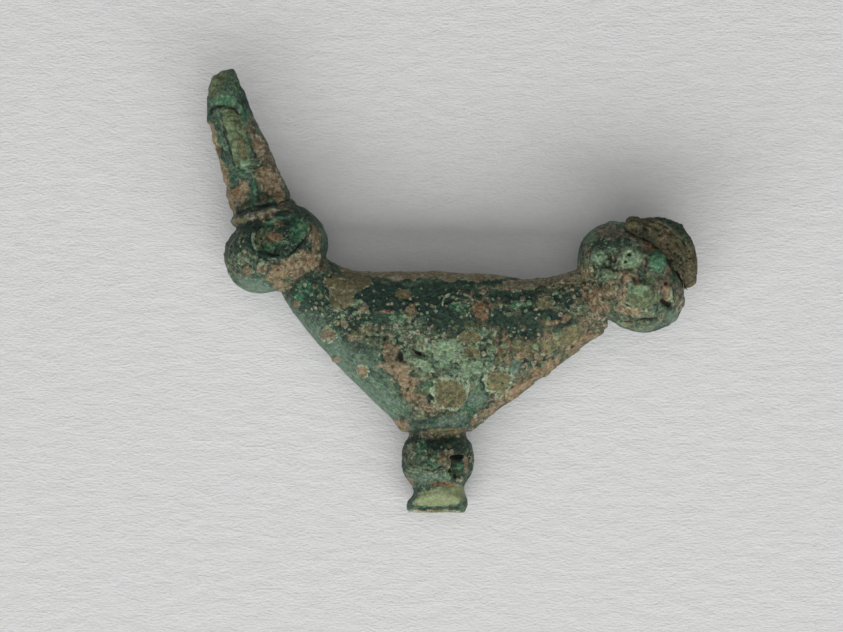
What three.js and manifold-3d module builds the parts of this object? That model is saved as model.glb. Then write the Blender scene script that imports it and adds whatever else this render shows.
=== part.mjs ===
// A cast bronze bow brooch, broken and thickly corroded, lying on its side.
// The bow is a swollen triangle. A round knob sits at each of its three corners:
// one at the foot, one at the head and one at the apex, which ends in a broken stud.
// The foot bends up from its knob and carries the stump of the catch.
// A curved stump of the spring is corroded fast to the outside of the head knob.
//
// Millimetres and degrees. X runs from the foot to the head, Y towards the pin side,
// Z up from the table. While the brooch is being built, X = 0 is the apex axis and
// Y = 0 the bow's pin-side edge. A turn is the angle of an axis in the XY plane,
// and a bearing is the angle at which a piece lies from its knob's centre.

import * as THREE from "three";
import { mergeVertices } from "three/addons/utils/BufferGeometryUtils.js";
import Module from "manifold-3d";

const wasm = await Module();
wasm.setup();

// Driving dimensions

const restFlat = 0.08; // how much is worn off each knob where it lies on the table
const fitGap = 0.3; // between the head knob and the stump of the spring

const footKnob = { x: -18.55, y: 2.7, radius: 6.05, halfLength: 4.45, turn: 115, boxiness: 2.4 };
const headKnob = { x: 22.2, y: -0.55, radius: 7.05, halfLength: 5.15, turn: 41, boxiness: 2.1 };
const apexKnob = { x: 0, y: -21.5, radius: 4.2, halfLength: 3.3, turn: 90, boxiness: 2.6 };

const bow = {
  thickness: 9.4, // at the middle
  footNeck: { bearing: -44.5, sunk: 0.45, width: 6.2, turn: -45 }, // sunk into its knob
  headNeck: { bearing: 210, sunk: 0.55, width: 7.2, turn: 23 },
  footBelly: 0.75, // how far each lower edge bulges out
  headBelly: 0.1,
  shoulderRadius: 4.05, // where the bow meets the apex neck
  fullnessShift: 0.3, // moves the thickest line towards the pin side
};
// The pin-side edge between its two necks: how far from the apex axis to a neck, and its height.
const footSideEdge = [
  { share: 0.73, y: 0.25 },
  { share: 0.4, y: 0.1 },
];
const headSideEdge = [
  { share: 0.2, y: 0 },
  { share: 0.68, y: -0.65 },
];

const apexNeck = { radius: 3.15, length: 0.8 };
const stud = {
  neckRadius: 3.15,
  rimRadius: 3.65,
  flareLength: 1.9,
  rimLength: 0.9,
  brokenAt: 3.3, // from its axis to the flat break on the head side
  scarTilt: 52,
  scarHeight: 0.45, // above its axis, at the rim
};

const setting = {
  radius: 3.25,
  ovalness: 0.84,
  tilt: 28,
  sunk: 0.85,
  dish: 0.4,
  rimWidth: 0.4,
  along: 0.9,
  around: 12.5,
};
const inlaySeat = { x: 2.3, y: -0.75, width: 2.4, height: 2.5, depth: 1.8 };
const inlayBead = { x: 0.6, y: -0.4, radius: 0.75, sunk: 0.28 };

const collar = { lip: 0.38, thickness: 1.3, turn: 107, neckInset: 0.5 };
const foot = {
  bearing: 110.3,
  clearOfKnob: 1.3, // from the knob's end to the foot's base, filled by the collar
  turn: 104,
  length: 15.65,
  outerWidth: 3.25, // axis to the outer edge, the same along most of the foot
  baseInnerWidth: 3.7, // axis to the inner edge at the base
  tipInnerWidth: 0.9,
  ridge: 0.35, // how far the ridge stands off the axis
  frontHeight: 2.7,
  backHeight: 1.9,
  edgeThickness: 1.5,
  tipThinning: 0.55, // what is left of the heights at the tip
};
const catchStump = { radius: 1.0, from: 11.2, to: 4.6, outerSide: -1.35, innerSide: -0.15, sunk: 0.5 };
const tipCrust = { along: 12.6, across: -0.95, length: 2.5, width: 1.85, height: 1.9 };

// Corrosion warts on the head knob's upper side, placed from its centre.
const warts = [
  { x: -3.9, y: 2.6, radius: 1.35 },
  { x: -0.1, y: 2.6, radius: 1.8 },
  { x: -2.8, y: 0.4, radius: 1.15 },
  { x: 1.05, y: -1.75, radius: 1.75 },
  { x: 2.8, y: 1.95, radius: 1.4 },
];
const wartHeight = 0.42; // of a wart's radius, above the knob
const headPit = { x: 3.65, y: -2.9, radius: 0.7 };

const spring = {
  standOff: 0.4, // of its outer face beyond the head knob's radius
  startStandOff: 1.15, // beside the rolled end, beyond the knob's half length
  bite: 0.65, // how far the uncut strip reaches inside the knob
  bulge: 0.3,
  fromTurn: 90,
  toTurn: -11,
  low: -3.0,
  high: 4.1,
  chamfer: 0.35,
  tipLoss: 0.55, // of its height, broken off at the far end
};
const springRoll = { radius: 1.1, length: 2.6, standOff: 0.45, bearing: 76, turn: 150, sunk: 0.5 };

// Fineness of the faces
const knobSides = 32;
const knobBands = 14;
const bowSides = 26;
const bowEndStations = 12;
const bowApexStations = 9;
const footStations = 16;
const springStations = 20;

const { degToRad, lerp, smoothstep } = THREE.MathUtils;

// A point of the XY plane at an angle and a distance from another.
function pointAt({ x, y }, bearing, distance) {
  const angle = degToRad(bearing);
  return new THREE.Vector2(x + distance * Math.cos(angle), y + distance * Math.sin(angle));
}

// A closed three.js geometry as a solid, with its faces turned outwards.
function solid(geometry) {
  const bare = geometry.clone();
  bare.deleteAttribute("normal");
  bare.deleteAttribute("uv");
  const merged = mergeVertices(bare, 1e-5);
  const index = merged.index.array;
  const faces = [];
  for (let i = 0; i < index.length; i += 3) {
    const [a, b, c] = [index[i], index[i + 1], index[i + 2]];
    if (a !== b && b !== c && c !== a) faces.push([a, b, c]);
  }
  const made = manifoldFrom(merged.attributes.position.array, faces);
  if (made.volume() > 0) return made;
  return manifoldFrom(merged.attributes.position.array, faces.map(([a, b, c]) => [a, c, b]));
}

function manifoldFrom(positions, faces) {
  const vertProperties = new Float32Array(positions);
  const triVerts = new Uint32Array(faces.flat());
  return new wasm.Manifold(new wasm.Mesh({ numProp: 3, vertProperties, triVerts }));
}

function geometryOf(made) {
  const mesh = made.getMesh();
  const geometry = new THREE.BufferGeometry();
  geometry.setAttribute("position", new THREE.BufferAttribute(new Float32Array(mesh.vertProperties), 3));
  geometry.setIndex(new THREE.BufferAttribute(new Uint32Array(mesh.triVerts), 1));
  geometry.computeVertexNormals();
  return geometry;
}

// Joins rings of points, each with as many points, into a closed skin with flat ends.
function loft(rings) {
  const sides = rings[0].length;
  const points = rings.flat();
  const ends = [rings[0], rings.at(-1)].map((ring) =>
    ring.reduce((sum, p) => sum.add(p), new THREE.Vector3()).divideScalar(sides),
  );
  const firstEnd = points.length;
  const lastEnd = firstEnd + 1;
  const lastRing = (rings.length - 1) * sides;
  const faces = [];
  for (let j = 0; j < sides; j++) {
    const next = (j + 1) % sides;
    faces.push(firstEnd, next, j, lastEnd, lastRing + j, lastRing + next);
    for (let i = 0; i + 1 < rings.length; i++) {
      const [a, b] = [i * sides + j, i * sides + next];
      faces.push(a, b, a + sides, b, b + sides, a + sides);
    }
  }
  return new THREE.BufferGeometry().setFromPoints([...points, ...ends]).setIndex(faces);
}

// A closed lathe shape about the Y axis from its radii and heights.
function lathe(outline, sides = knobSides) {
  return new THREE.LatheGeometry(outline.map(([r, h]) => new THREE.Vector2(r, h)), sides);
}

// The profile of a knob, from one pole to the other: a circle at boxiness 2, squarer above it.
function knobProfile({ radius, halfLength, boxiness }, grown = 0) {
  const power = 2 / boxiness;
  return Array.from({ length: knobBands + 1 }, (_, i) => {
    const angle = degToRad(lerp(-90, 90, i / knobBands));
    const r = i % knobBands === 0 ? 0 : (radius + grown) * Math.cos(angle) ** power;
    const h = (halfLength + grown) * Math.sign(Math.sin(angle)) * Math.abs(Math.sin(angle)) ** power;
    return [r, h];
  });
}

// Turns a shape made about the Y axis so that it runs at an angle in the XY plane.
function turned(geometry, turn) {
  return geometry.rotateZ(degToRad(turn - 90));
}

// Every knob lies on the table, so its centre stands as high as its own radius.
function knob(size, grown = 0) {
  return solid(turned(lathe(knobProfile(size, grown)), size.turn).translate(size.x, size.y, size.radius));
}

// How high a knob's upper side stands above its centre, x and y away from it.
function knobTop({ radius, halfLength, boxiness, turn }, x, y) {
  const [c, s] = [Math.cos(degToRad(turn)), Math.sin(degToRad(turn))];
  const along = Math.abs(x * c + y * s) / halfLength;
  const across = x * s - y * c;
  const ring = radius * (1 - along ** boxiness) ** (1 / boxiness);
  return Math.sqrt(ring ** 2 - across ** 2);
}

// Moves a shape to a place of a knob's upper side, sunk straight down into it.
function ontoKnob(geometry, size, { x, y }, sunk = 0) {
  const top = size.radius + knobTop(size, x, y) - sunk;
  return geometry.translate(size.x + x, size.y + y, top);
}

// The height of the brooch's middle plane, which passes through the three knobs' centres.
function middle(x, y) {
  const [a, b, c] = [footKnob, headKnob, apexKnob].map((k) => new THREE.Vector3(k.x, k.y, k.radius));
  const normal = b.clone().sub(a).cross(c.clone().sub(a));
  return a.z - (normal.x * (x - a.x) + normal.y * (y - a.y)) / normal.z;
}

// The two corners of a neck, on the pin side and on the apex side.
function neckCorners(size, { bearing, sunk, width, turn }) {
  const centre = pointAt(size, bearing, size.halfLength - sunk);
  return {
    pinSide: pointAt(centre, turn + 90, width / 2),
    apexSide: pointAt(centre, turn - 90, width / 2),
  };
}

// A lower edge of the bow: nearly straight, bulging out a little nearer to the neck.
function lowerEdge(start, end, belly, t) {
  const along = end.clone().sub(start);
  const outward = new THREE.Vector2(along.y, -along.x).normalize();
  if (outward.y > 0) outward.negate();
  return start.clone().lerp(end, t).addScaledVector(outward, belly * Math.sin(Math.PI * t ** 0.7));
}

// The bow's body: each station is a closed egg-shaped ring between a point of the
// pin-side edge and one of the lower edge. Above the apex the rings open to its round neck.
function bowBody() {
  const footEnd = neckCorners(footKnob, bow.footNeck);
  const headEnd = neckCorners(headKnob, bow.headNeck);
  const edgePoint = (neckX, { share, y }) => new THREE.Vector2(lerp(apexKnob.x, neckX, share), y);
  const pinSide = new THREE.SplineCurve([
    footEnd.pinSide,
    ...footSideEdge.map((point) => edgePoint(footEnd.pinSide.x, point)),
    ...headSideEdge.map((point) => edgePoint(headEnd.pinSide.x, point)),
    headEnd.pinSide,
  ]);
  const shoulderY = apexKnob.y + apexKnob.halfLength + apexNeck.length / 4;
  const shoulder = (offset) => new THREE.Vector2(apexKnob.x + offset, shoulderY);
  const [apexFrom, apexTo] = [0.42, 0.56]; // the shares of the pin side that face the apex
  const stations = [];
  const addStation = (share, lower, neckHalf) => {
    stations.push({ upper: pinSide.getPoint(share), lower, neckHalf, share });
  };
  for (let i = 0; i < bowEndStations; i++) {
    const t = i / bowEndStations;
    const lower = lowerEdge(footEnd.apexSide, shoulder(-bow.shoulderRadius), bow.footBelly, t);
    addStation(t * apexFrom, lower, 0);
  }
  for (let i = 0; i <= bowApexStations; i++) {
    const angle = degToRad(lerp(-90, 90, i / bowApexStations));
    const share = lerp(apexFrom, apexTo, (1 + Math.sin(angle)) / 2);
    addStation(share, shoulder(bow.shoulderRadius * Math.sin(angle)), bow.shoulderRadius * Math.cos(angle));
  }
  for (let i = 1; i <= bowEndStations; i++) {
    const t = i / bowEndStations;
    const lower = lowerEdge(headEnd.apexSide, shoulder(bow.shoulderRadius), bow.headBelly, 1 - t);
    addStation(lerp(apexTo, 1, t), lower, 0);
  }
  return solid(loft(stations.map(bowRing)));
}

function bowRing({ upper, lower, neckHalf, share }) {
  const ends = lerp(bow.footNeck.width, bow.headNeck.width, share) / 2;
  const fullness = Math.sin(Math.PI * share);
  const half = lerp(ends, bow.thickness / 2, fullness ** 0.75);
  return Array.from({ length: bowSides }, (_, j) => {
    const angle = (2 * Math.PI * (j + 0.5)) / bowSides;
    const down = (1 - Math.cos(angle)) / 2;
    const shifted = 1 + bow.fullnessShift * Math.cos(angle) * fullness;
    const egg = half * Math.abs(Math.sin(angle)) ** 0.85 * shifted;
    const neck = neckHalf * smoothstep(down, 0.35, 1);
    const { x, y } = upper.clone().lerp(lower, down);
    return new THREE.Vector3(x, y, middle(x, y) + Math.sign(Math.sin(angle)) * Math.hypot(egg, neck));
  });
}

// Moves a shape made about the Y axis to the seat of the setting on the foot knob.
function toSetting(shape) {
  const turn = degToRad(footKnob.turn);
  const across = footKnob.radius * Math.sin(degToRad(setting.around));
  const x = setting.along * Math.cos(turn) + across * Math.sin(turn);
  const y = setting.along * Math.sin(turn) - across * Math.cos(turn);
  shape.scale(1, 1, setting.ovalness).rotateX(degToRad(90 - setting.tilt)).rotateZ(turn - Math.PI / 2);
  return ontoKnob(shape, footKnob, { x, y }, setting.sunk);
}

// The oval setting on the foot knob's upper side: a dished disc with a thin raised rim.
function settingDisc() {
  const { radius, dish, rimWidth } = setting;
  const outline = [
    [0, -radius],
    [radius * 0.7, -radius],
    [radius, -dish * 3],
    [radius, -dish * 0.3],
    [radius - rimWidth * 0.35, 0],
    [radius - rimWidth * 0.8, 0],
    [radius - rimWidth * 1.4, -dish],
    [radius * 0.45, -dish * 0.85],
    [radius * 0.35, -dish],
    [0, -dish * 0.9],
  ];
  return solid(toSetting(lathe(outline)));
}

// The pocket that clears the knob away above the setting.
function settingPocket() {
  const { radius, rimWidth, dish } = setting;
  const pocket = new THREE.CylinderGeometry(radius, radius - rimWidth, radius, knobSides);
  return solid(toSetting(pocket.translate(0, radius / 2 - dish, 0)));
}

// The knob at the apex, its neck above and the broken stud below, turned about one axis.
function apexFinial() {
  const { halfLength, x, y, radius } = apexKnob;
  const { neckRadius, rimRadius, rimLength, flareLength } = stud;
  const bottom = -halfLength - flareLength - rimLength;
  const rimTop = bottom + rimLength;
  const outline = [
    [0, bottom],
    [rimRadius * 0.95, bottom],
    [rimRadius, bottom + rimLength * 0.3],
    [rimRadius, rimTop],
    [lerp(neckRadius, rimRadius, 0.45), rimTop + flareLength * 0.35],
    [neckRadius, rimTop + flareLength * 0.8],
    [neckRadius, -halfLength * 0.93],
    ...knobProfile(apexKnob).filter(([r]) => r > neckRadius),
    [apexNeck.radius, halfLength * 0.95],
    [apexNeck.radius, halfLength + apexNeck.length],
    [0, halfLength + apexNeck.length * 2],
  ];
  const whole = solid(lathe(outline).translate(x, y, radius));
  return whole.subtract(studBreak(bottom)).subtract(studScar(bottom)).subtract(seatCut()).add(seatBead());
}

// The stud's head side is broken off flat.
function studBreak(bottom) {
  const reach = stud.rimRadius * 2;
  const height = stud.rimLength + stud.flareLength;
  const block = new THREE.BoxGeometry(reach, height, reach * 2);
  const y = apexKnob.y + bottom + height / 2 - stud.flareLength * 0.1;
  return solid(block.translate(apexKnob.x + stud.brokenAt + reach / 2, y, apexKnob.radius));
}

// A slanting scar takes away the stud's upper side down to about its middle.
function studScar(bottom) {
  const reach = stud.rimRadius * 3;
  const block = new THREE.BoxGeometry(reach, reach, reach).translate(0, 0, reach / 2);
  block.rotateX(degToRad(stud.scarTilt));
  return solid(block.translate(apexKnob.x, apexKnob.y + bottom, apexKnob.radius + stud.scarHeight));
}

// The square seat of a lost inlay, cut into the apex knob.
function seatCut() {
  const { x, y, width, height, depth } = inlaySeat;
  const reach = apexKnob.radius;
  const block = new THREE.BoxGeometry(width, height, reach);
  const floor = apexKnob.radius * 2 - depth;
  return solid(block.translate(apexKnob.x + x, apexKnob.y + y, floor + reach / 2));
}

function seatBead() {
  const bead = new THREE.SphereGeometry(inlayBead.radius, 14, 10);
  return solid(ontoKnob(bead, apexKnob, inlayBead, inlayBead.sunk));
}

// From the foot's own axes to the brooch's: how far along it, across it and above its middle.
function footPlace(along, across, up) {
  const base = pointAt(footKnob, foot.bearing, footKnob.halfLength + foot.clearOfKnob);
  const { x, y } = pointAt(pointAt(base, foot.turn, along), foot.turn - 90, across);
  return new THREE.Vector3(x, y, footKnob.radius + up);
}

function footFront(along) {
  return foot.frontHeight * lerp(1, foot.tipThinning, along / foot.length);
}

// The foot: a tapering bar with a ridged front and a flatter back, rounded off at its broken tip.
function footBar() {
  const rings = Array.from({ length: footStations + 1 }, (_, i) => {
    const share = Math.sin((Math.PI / 2) * (i / footStations));
    const along = share * foot.length;
    const rounding = Math.sqrt(Math.max(0.03, 1 - smoothstep(share, 0.68, 1.02) ** 1.5));
    const outer = -foot.outerWidth * rounding;
    const inner = lerp(foot.baseInnerWidth, foot.tipInnerWidth, share);
    const front = footFront(along) * Math.sqrt(rounding);
    const back = foot.backHeight * lerp(1, foot.tipThinning, share) * Math.sqrt(rounding);
    const edge = foot.edgeThickness / 2;
    const ridge = Math.min(foot.ridge, inner * 0.6);
    return [
      [outer, -edge],
      [outer, edge],
      [lerp(outer, ridge, 0.5), lerp(edge, front, 0.62)],
      [ridge - 0.35 * rounding, front * 0.97],
      [ridge + 0.3 * rounding, front * 0.97],
      [lerp(inner, ridge, 0.45), lerp(edge, front, 0.5)],
      [inner, edge],
      [inner, -edge],
      [inner * 0.6, -back * 0.9],
      [0, -back],
      [outer * 0.6, -back * 0.9],
    ].map(([across, up]) => footPlace(along, across, up));
  });
  return solid(loft(rings));
}

// A thin collar between the foot knob and the foot, with the neck that carries both.
function footCollar() {
  const { lip, thickness, turn, neckInset } = collar;
  const radius = (foot.outerWidth + foot.baseInnerWidth) / 2 + lip;
  const neck = radius - neckInset;
  const half = thickness / 2;
  const space = foot.clearOfKnob - half;
  const outline = [
    [0, -radius],
    [neck, -radius],
    [neck, -half],
    [radius, -half / 2],
    [radius, half / 2],
    [neck, half],
    [neck * 0.95, half + space],
    [0, half + space * 2],
  ];
  const across = (foot.baseInnerWidth - foot.outerWidth) / 2;
  const { x, y, z } = footPlace(-foot.clearOfKnob, across, 0);
  return solid(turned(lathe(outline), turn).translate(x, y, z));
}

// What is left of the catch: a rounded lobe along the foot's front.
function catchLobe() {
  const { radius, from, to, outerSide, innerSide, sunk } = catchStump;
  const start = footPlace(from, outerSide, footFront(from) - sunk);
  const end = footPlace(to, innerSide, footFront(to) - sunk);
  const along = end.clone().sub(start);
  const upright = new THREE.Vector3(0, 1, 0);
  const facing = new THREE.Quaternion().setFromUnitVectors(upright, along.clone().normalize());
  const lobe = new THREE.CapsuleGeometry(radius, along.length() - radius, 6, 14).applyQuaternion(facing);
  const { x, y, z } = start.lerp(end, 0.5);
  return solid(lobe.translate(x, y, z));
}

// The swollen crust at the foot's broken tip.
function footTipCrust() {
  const crust = new THREE.SphereGeometry(1, 18, 12).scale(tipCrust.width, tipCrust.length, tipCrust.height);
  const { x, y, z } = footPlace(tipCrust.along, tipCrust.across, 0);
  return solid(turned(crust, foot.turn).translate(x, y, z));
}

function headWart({ x, y, radius }) {
  const outward = new THREE.Vector3(x, y, knobTop(headKnob, x, y)).normalize();
  const inward = outward.multiplyScalar(-radius * (1 - wartHeight));
  const ball = new THREE.IcosahedronGeometry(radius, 2).translate(inward.x, inward.y, inward.z);
  return solid(ontoKnob(ball, headKnob, { x, y }));
}

function headPitCut() {
  return solid(ontoKnob(new THREE.IcosahedronGeometry(headPit.radius, 2), headKnob, headPit));
}

// Everything below the table, which wears a small flat under each knob.
function table() {
  const reach = 200;
  return solid(new THREE.BoxGeometry(reach, reach, reach).translate(0, 0, restFlat - reach / 2));
}

function casting() {
  const parts = [
    knob(footKnob).subtract(settingPocket()),
    knob(headKnob),
    settingDisc(),
    apexFinial(),
    footCollar(),
    footBar(),
    catchLobe(),
    footTipCrust(),
    ...warts.map(headWart),
  ];
  return parts.reduce((whole, part) => whole.add(part), bowBody()).subtract(headPitCut()).subtract(table());
}

// The stump of the spring: a strip bent round the head knob, with a rolled end.
function springStump() {
  const { standOff, startStandOff, bite, bulge, fromTurn, toTurn, low, high, chamfer, tipLoss } = spring;
  const innerRadius = headKnob.halfLength - bite;
  const rings = Array.from({ length: springStations + 1 }, (_, i) => {
    const share = i / springStations;
    const turn = lerp(fromTurn, toTurn, share);
    const kept = 1 - tipLoss * smoothstep(share, 0.72, 1);
    const [top, bottom] = [high * kept, low * kept];
    const widening = smoothstep(share, 0, 0.3);
    const reach = lerp(headKnob.halfLength + startStandOff, headKnob.radius + standOff, widening);
    const outerRadius = reach + bulge * Math.sin(Math.PI * share) ** 2;
    return [
      [innerRadius, bottom],
      [innerRadius, top - chamfer],
      [innerRadius + chamfer, top],
      [outerRadius - chamfer, top],
      [outerRadius, top - chamfer],
      [outerRadius, bottom + chamfer],
      [outerRadius - chamfer, bottom],
    ].map(([r, up]) => {
      const { x, y } = pointAt(headKnob, turn, r);
      return new THREE.Vector3(x, y, headKnob.radius + up);
    });
  });
  const cleared = solid(loft(rings)).add(rolledEnd()).subtract(knob(headKnob, fitGap));
  return warts.map(headWart).reduce((left, wart) => left.subtract(wart), cleared);
}

function rolledEnd() {
  const { radius, length, standOff, bearing, turn, sunk } = springRoll;
  const { x, y } = pointAt(headKnob, bearing, headKnob.halfLength + standOff);
  const roll = turned(new THREE.CapsuleGeometry(radius, length, 6, 14), turn);
  return solid(roll.translate(x, y, headKnob.radius + spring.high - sunk));
}

const bronze = new THREE.MeshStandardMaterial({ color: 0x55624e, roughness: 0.85, metalness: 0.15 });
const brownCrust = new THREE.MeshStandardMaterial({ color: 0x5d5142, roughness: 0.95, metalness: 0.05 });

const bowCasting = new THREE.Mesh(geometryOf(casting()), bronze);
bowCasting.name = "bow_casting";
const springPiece = new THREE.Mesh(geometryOf(springStump()), brownCrust);
springPiece.name = "spring_stump";

// The part's origin is under the middle of its outline, on the table.
const brooch = new THREE.Group();
brooch.add(bowCasting, springPiece);
const extent = new THREE.Box3().setFromObject(brooch);
const centre = extent.getCenter(new THREE.Vector3());
for (const mesh of [bowCasting, springPiece]) mesh.position.set(-centre.x, -centre.y, -extent.min.z);

export default brooch;
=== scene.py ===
import math

import bpy
import numpy as np
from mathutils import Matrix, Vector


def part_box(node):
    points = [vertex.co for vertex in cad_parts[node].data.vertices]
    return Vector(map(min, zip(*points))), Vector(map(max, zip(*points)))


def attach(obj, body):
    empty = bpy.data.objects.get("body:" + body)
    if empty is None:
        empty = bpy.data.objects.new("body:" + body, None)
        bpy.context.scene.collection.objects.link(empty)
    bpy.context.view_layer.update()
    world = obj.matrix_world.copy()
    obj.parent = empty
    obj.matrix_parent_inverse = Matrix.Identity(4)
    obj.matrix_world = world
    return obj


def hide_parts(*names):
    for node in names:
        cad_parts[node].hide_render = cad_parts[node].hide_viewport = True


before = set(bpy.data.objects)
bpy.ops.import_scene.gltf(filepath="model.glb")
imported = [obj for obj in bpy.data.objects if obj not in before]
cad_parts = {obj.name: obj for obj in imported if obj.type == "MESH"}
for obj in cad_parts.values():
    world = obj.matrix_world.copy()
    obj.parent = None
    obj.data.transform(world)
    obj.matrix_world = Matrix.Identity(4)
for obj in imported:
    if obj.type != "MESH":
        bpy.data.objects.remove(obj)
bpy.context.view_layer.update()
print("frame loaded")

# Shapes are worked out in millimetres in the brooch's own axes: x = 0 on the apex knob's axis,
# y = 0 on the bow's pin-side edge, z = 0 on the table before the resting flats are worn.
toFrame = np.array([-1.597, 2.052, -0.08])  # from there to the CAD frame
seenScale = 0.115  # millimetres to one pixel of the photograph
seenOrigin = (437.5, 273.0)  # the pixel of x = 0, y = 0

footKnob = {"x": -18.55, "y": 2.7, "radius": 6.05, "halfLength": 4.45, "turn": 115, "boxiness": 2.4}
headKnob = {"x": 22.2, "y": -0.55, "radius": 7.05, "halfLength": 5.15, "turn": 41, "boxiness": 2.1}
apexKnob = {"x": 0.0, "y": -21.5, "radius": 4.2, "halfLength": 3.3, "turn": 90, "boxiness": 2.6}


def smoothstep(value, low, high):
    # 3t^2 - 2t^3 between the two limits
    t = np.clip((value - low) / (high - low), 0, 1)
    return t * t * (3 - 2 * t)


def lerp(a, b, t):
    return a + (b - a) * t


def pointAt(x, y, bearing, distance):
    angle = math.radians(bearing)
    return np.array([x + distance * math.cos(angle), y + distance * math.sin(angle)])


# Closed skins


def closedSkin(points):
    # rings of points, ring by side, joined by four-sided faces, each end fanned to its ring's mean
    rings, sides = points.shape[:2]
    ring, side = np.meshgrid(np.arange(rings - 1), np.arange(sides), indexing="ij")
    after = (side + 1) % sides
    walls = np.stack([ring * sides + side, ring * sides + after,
                      (ring + 1) * sides + after, (ring + 1) * sides + side], -1).reshape(-1, 4)
    here, there = np.arange(sides), (np.arange(sides) + 1) % sides
    lastRing, firstEnd = (rings - 1) * sides, rings * sides
    fans = np.concatenate([
        np.stack([there, here, np.full(sides, firstEnd)], -1),
        np.stack([lastRing + here, lastRing + there, np.full(sides, firstEnd + 1)], -1)])
    corners = np.vstack([points.reshape(-1, 3), points[0].mean(0), points[-1].mean(0)])
    return corners, walls.tolist() + fans.tolist()


def lathed(profile, sides=96):
    # a profile of (r, h) turned about Y: (r cos b, h, r sin b)
    r, h = np.asarray(profile, float).T
    b = np.linspace(0, 2 * np.pi, sides, endpoint=False)
    return np.stack([np.outer(r, np.cos(b)), np.repeat(h[:, None], sides, 1), np.outer(r, np.sin(b))], -1)


def turned(points, turn):
    # a shape made along Y, turned to run at an angle in the XY plane
    c, s = math.cos(math.radians(turn - 90)), math.sin(math.radians(turn - 90))
    x, y, z = points[..., 0], points[..., 1], points[..., 2]
    return np.stack([c * x - s * y, s * x + c * y, z], -1)


def knobProfile(knob, bands=60):
    # r = radius cos(a)^(2/n), h = half length sin(a)^(2/n), n the boxiness
    a = np.radians(np.linspace(-89, 89, bands))
    power = 2 / knob["boxiness"]
    r = knob["radius"] * np.cos(a) ** power
    h = knob["halfLength"] * np.sign(a) * np.abs(np.sin(a)) ** power
    return np.stack([r, h], -1)


def knobSkin(knob):
    centre = [knob["x"], knob["y"], knob["radius"]]
    return turned(lathed(knobProfile(knob)), knob["turn"]) + centre


def knobTop(knob, x, y):
    # height of the knob's upper side above its centre: sqrt(ring radius^2 - offset across its axis^2)
    c, s = math.cos(math.radians(knob["turn"])), math.sin(math.radians(knob["turn"]))
    along = np.abs(x * c + y * s) / knob["halfLength"]
    ring = knob["radius"] * np.clip(1 - along ** knob["boxiness"], 0, 1) ** (1 / knob["boxiness"])
    return np.sqrt(np.clip(ring ** 2 - (x * s - y * c) ** 2, 0, None))


def capsule(start, end, radius, bands=40, sides=32):
    # a round bar with half-ball ends: radius cos(a) about the line, its ends pushed out by radius sin(a)
    start, end = np.asarray(start, float), np.asarray(end, float)
    along = (end - start) / np.linalg.norm(end - start)
    side = np.cross(along, [0.3, 0.2, 1.0])
    side /= np.linalg.norm(side)
    other = np.cross(along, side)
    a = np.radians(np.linspace(-89, 89, bands))
    b = np.linspace(0, 2 * np.pi, sides, endpoint=False)
    middle = np.where(a[:, None] < 0, start, end) + np.outer(np.sin(a) * radius, along)
    ring = np.outer(np.cos(b), side) + np.outer(np.sin(b), other)
    return middle[:, None, :] + (np.cos(a) * radius)[:, None, None] * ring


def ball(centre, radii, bands=40, sides=48):
    # (rx cos a cos b, ry sin a, rz cos a sin b)
    a = np.radians(np.linspace(-89, 89, bands))[:, None]
    b = np.linspace(0, 2 * np.pi, sides, endpoint=False)
    unit = np.stack([np.cos(a) * np.cos(b), np.sin(a) * np.ones_like(b), np.cos(a) * np.sin(b)], -1)
    return unit * np.asarray(radii) + np.asarray(centre)


def finer(polygon, pieces=6):
    # each side of a closed outline cut into equal pieces, along its second last axis
    after = np.roll(polygon, -1, axis=-2)
    t = (np.arange(pieces) / pieces)[:, None]
    cut = polygon[..., :, None, :] * (1 - t) + after[..., :, None, :] * t
    return cut.reshape(*polygon.shape[:-2], -1, polygon.shape[-1])


# The bow

bow = {
    "thickness": 9.4,
    "footNeck": {"bearing": -44.5, "sunk": 0.45, "width": 6.2, "turn": -45},
    "headNeck": {"bearing": 210, "sunk": 0.55, "width": 7.2, "turn": 23},
    "footBelly": 0.75,
    "headBelly": 0.1,
    "shoulderRadius": 4.05,
    "fullnessShift": 0.3,
    "footSideEdge": [(0.73, 0.25), (0.4, 0.1)],  # share of the way to the neck, and height
    "headSideEdge": [(0.2, 0.0), (0.68, -0.65)],
    "apexShares": (0.42, 0.56),
}
apexNeck = {"radius": 3.15, "length": 0.8}


def middlePlane(x, y):
    # the plane through the three knobs' centres
    a, b, c = (np.array([k["x"], k["y"], k["radius"]]) for k in (footKnob, headKnob, apexKnob))
    n = np.cross(b - a, c - a)
    return a[2] - (n[0] * (x - a[0]) + n[1] * (y - a[1])) / n[2]


def curveThrough(points, t):
    # Catmull-Rom: a cubic between neighbours whose slopes are half the step past each
    last = len(points) - 1
    at = np.clip(t, 0, 1) * last
    i = np.minimum(at.astype(int), last)
    w = (at - i)[:, None]
    p0, p1 = points[np.maximum(i - 1, 0)], points[i]
    p2, p3 = points[np.minimum(i + 1, last)], points[np.minimum(i + 2, last)]
    v0, v1 = (p2 - p0) / 2, (p3 - p1) / 2
    return (2 * p1 - 2 * p2 + v0 + v1) * w ** 3 + (3 * p2 - 3 * p1 - 2 * v0 - v1) * w ** 2 + v0 * w + p1


def neckCorners(knob, neck):
    centre = pointAt(knob["x"], knob["y"], neck["bearing"], knob["halfLength"] - neck["sunk"])
    return (pointAt(*centre, neck["turn"] + 90, neck["width"] / 2),
            pointAt(*centre, neck["turn"] - 90, neck["width"] / 2))


def lowerEdge(start, end, belly, t):
    # a straight line pushed out by belly sin(pi t^0.7)
    t, along = np.clip(t, 0, 1), end - start
    outward = np.array([along[1], -along[0]]) / np.linalg.norm(along)
    outward *= -np.sign(outward[1])
    return start + np.outer(t, along) + np.outer(belly * np.sin(np.pi * t ** 0.7), outward)


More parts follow.
